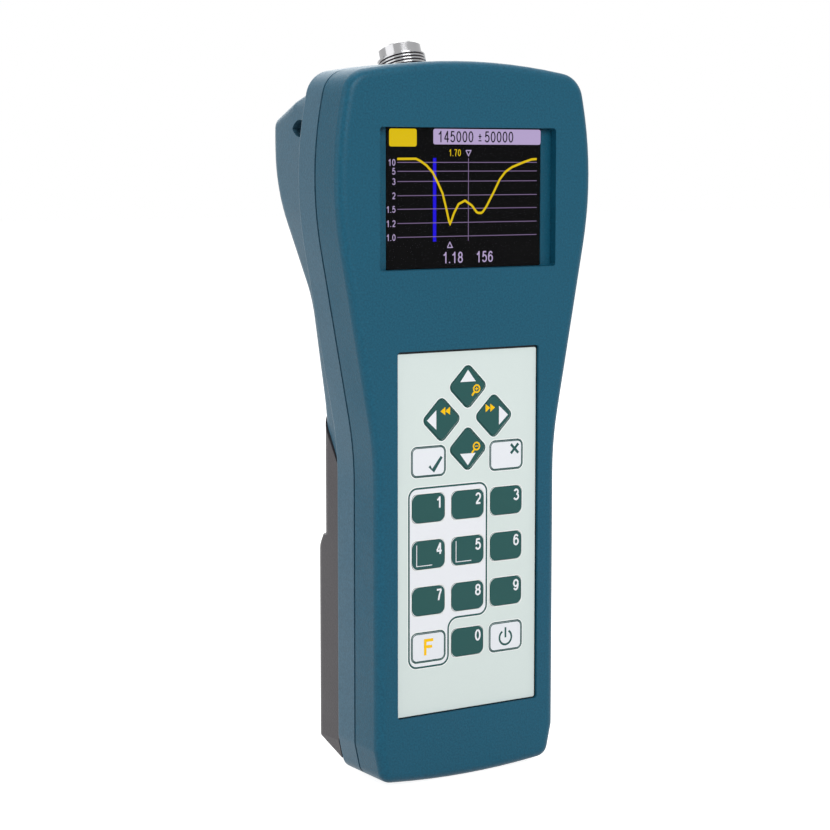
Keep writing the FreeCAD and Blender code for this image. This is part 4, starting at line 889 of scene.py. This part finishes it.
def threaded_connector():
    """The connector's barrel, turned as one surface with a helical thread."""
    tip = CONNECTOR_REACH
    edge = CONNECTOR_EDGE
    rows = [(FLANGE_START, BORE_RADIUS), (FLANGE_START, FLANGE_RADIUS), (FLANGE_END, FLANGE_RADIUS),
            (FLANGE_END, NECK_RADIUS), (THREAD_START, NECK_RADIUS)]
    count = int((THREAD_END - THREAD_START) / THREAD_PITCH * PROFILE_STEPS)
    rows += [(THREAD_START + (THREAD_END - THREAD_START) * i / count, None) for i in range(count + 1)]
    rows += [(THREAD_END + edge, COLLAR_FOOT_RADIUS), (tip - edge, COLLAR_RADIUS),
             (tip, COLLAR_RADIUS - edge), (tip, MOUTH_RADIUS + edge), (tip - edge, MOUTH_RADIUS),
             (tip - MOUTH_DEPTH, MOUTH_RADIUS), (tip - MOUTH_DEPTH, SEAT_RADIUS),
             (tip - SEAT_DEPTH, SEAT_RADIUS), (tip - SEAT_DEPTH, BORE_RADIUS)]
    form = bmesh.new()
    rings = []
    for t, radius in rows:
        ring = []
        for step in range(TURN_STEPS):
            angle = 2.0 * math.pi * step / TURN_STEPS
            reach = thread_radius(t, angle) if radius is None else radius
            ring.append(form.verts.new((reach * math.cos(angle) * MM,
                                        reach * math.sin(angle) * MM, t * MM)))
        rings.append(ring)
    rings.append(rings[0])
    for lower, upper in zip(rings, rings[1:]):
        for step in range(TURN_STEPS):
            after = (step + 1) % TURN_STEPS
            form.faces.new((lower[step], lower[after], upper[after], upper[step]))
    bmesh.ops.recalc_face_normals(form, faces=form.faces)
    for face in form.faces:
        face.smooth = True
    mesh = mesh_from_form("connector_barrel", form)
    mesh.transform(CONNECTOR_AXIS.to_track_quat("Z", "X").to_matrix().to_4x4())
    for vertex in mesh.vertices:
        vertex.co += CONNECTOR_BASE
    mesh.set_sharp_from_angle(angle=math.radians(35.0))
    piece = add_piece("connector_barrel", mesh, thread_metal)
    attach(piece, "case")
    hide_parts("connector_body")


# Display lens
LENS_FRONT = 2.0
LENS_BACK = 2.7
LENS_BEVEL = 0.12
LENS_CORNER = 1.0


def display_lens():
    """The clear lens, a little thinner than its place so that the picture lies behind it."""
    low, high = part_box("display_window")
    form = bmesh.new()
    rings = []
    for depth, cut in ((LENS_FRONT, LENS_BEVEL), (LENS_FRONT + LENS_BEVEL, 0.0), (LENS_BACK, 0.0)):
        loop = rounded_loop(low[0] / MM + cut, low[2] / MM + cut,
                            high[0] / MM - cut, high[2] / MM - cut, LENS_CORNER)
        rings.append([form.verts.new((x * MM, at_depth(depth), z * MM)) for x, z in loop])
    form.faces.new(rings[0])
    form.faces.new(list(reversed(rings[2])))
    count = len(rings[0])
    for first, second in zip(rings, rings[1:]):
        for i in range(count):
            j = (i + 1) % count
            form.faces.new((first[i], first[j], second[j], second[i]))
    bmesh.ops.recalc_face_normals(form, faces=form.faces)
    piece = add_piece("display_lens", mesh_from_form("display_lens", form), lens_clear)
    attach(piece, "case")
    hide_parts("display_window")


# Camera, floor and light
CAMERA_PLACE = Vector((-375.49, -585.67, 196.00)) * MM
CAMERA_YAW = math.radians(32.44)
CAMERA_PITCH = math.radians(5.97)
CAMERA_LENS = 93.2
CAMERA_SHIFT_Y = -0.035
WORLD_LEVEL = 0.5
FLOOR_REACH = 6.0
FLOOR_LEVEL = -0.4 * MM
FLOOR_GLOW = 0.9
LAMP_TARGET = Vector((0.0, 0.0, 0.13))
LAMPS = (
    ("left_box", (-0.9, 0.1, 0.35), 0.7, 0.9, 2.6),
    ("front_box", (-0.1, -1.1, 0.75), 0.8, 0.6, 8.8),
    ("top_box", (0.1, 0.25, 1.0), 0.7, 0.7, 4.0),
    ("back_box", (0.4, 1.0, 0.6), 0.8, 0.8, 3.0),
)


def make_camera():
    data = bpy.data.cameras.new("camera")
    data.sensor_width = 36.0
    data.lens = CAMERA_LENS
    data.shift_y = CAMERA_SHIFT_Y
    data.clip_start = 0.01
    camera = bpy.data.objects.new("camera", data)
    level = math.cos(CAMERA_PITCH)
    look = Vector((math.sin(CAMERA_YAW) * level, math.cos(CAMERA_YAW) * level, -math.sin(CAMERA_PITCH)))
    camera.location = CAMERA_PLACE
    camera.rotation_euler = look.to_track_quat("-Z", "Y").to_euler()
    bpy.context.scene.collection.objects.link(camera)
    bpy.context.scene.camera = camera


def area_lamp(name, place, width, height, power):
    data = bpy.data.lights.new(name, "AREA")
    data.shape = "RECTANGLE"
    data.size = width
    data.size_y = height
    data.energy = power
    lamp = bpy.data.objects.new(name, data)
    lamp.location = place
    lamp.rotation_euler = (LAMP_TARGET - Vector(place)).to_track_quat("-Z", "Y").to_euler()
    bpy.context.scene.collection.objects.link(lamp)


def make_floor():
    """A pale floor that the background's white runs into; it keeps the shadow."""
    material, tree, shader = blank_material("studio_floor")
    shader.inputs["Base Color"].default_value = (0.5, 0.5, 0.5, 1.0)
    shader.inputs["Roughness"].default_value = 0.9
    shader.inputs["Specular IOR Level"].default_value = 0.0
    path = tree.nodes.new("ShaderNodeLightPath")
    seen = math_node(tree, "MAXIMUM", path.outputs["Is Camera Ray"], path.outputs["Is Glossy Ray"])
    glow = tree.nodes.new("ShaderNodeEmission")
    tree.links.new(math_node(tree, "MULTIPLY", seen, FLOOR_GLOW), glow.inputs["Strength"])
    both = tree.nodes.new("ShaderNodeAddShader")
    tree.links.new(shader.outputs["BSDF"], both.inputs[0])
    tree.links.new(glow.outputs["Emission"], both.inputs[1])
    tree.links.new(both.outputs["Shader"], tree.nodes["Material Output"].inputs["Surface"])
    mesh = bpy.data.meshes.new("floor")
    corners = ((-1, -1), (1, -1), (1, 1), (-1, 1))
    mesh.from_pydata([(x * FLOOR_REACH, y * FLOOR_REACH, FLOOR_LEVEL) for x, y in corners],
                     [], [(0, 1, 2, 3)])
    floor = add_piece("floor", mesh, material)


def make_world():
    world = bpy.data.worlds.new("studio")
    bpy.context.scene.world = world
    world.use_nodes = True
    tree = world.node_tree
    backdrop = tree.nodes["Background"]
    path = tree.nodes.new("ShaderNodeLightPath")
    seen = path.outputs["Is Camera Ray"]
    for kind in ("Is Glossy Ray", "Is Transmission Ray"):
        seen = math_node(tree, "MAXIMUM", seen, path.outputs[kind])
    strength = math_node(tree, "ADD", math_node(tree, "MULTIPLY", seen, 1.0 - WORLD_LEVEL), WORLD_LEVEL)
    tree.links.new(strength, backdrop.inputs["Strength"])
    backdrop.inputs["Color"].default_value = (1.0, 1.0, 1.0, 1.0)


def light_studio():
    make_world()
    for lamp in LAMPS:
        area_lamp(*lamp)


bpy.context.scene.view_settings.view_transform = "Standard"
dress_nodes()
key_zone()
print_surrounds()
pad_seam_and_shadow()
dress_number_keys()
dress_arrow_keys()
dress_white_keys()
display_picture()
display_lens()
threaded_connector()
make_floor()
light_studio()
make_camera()
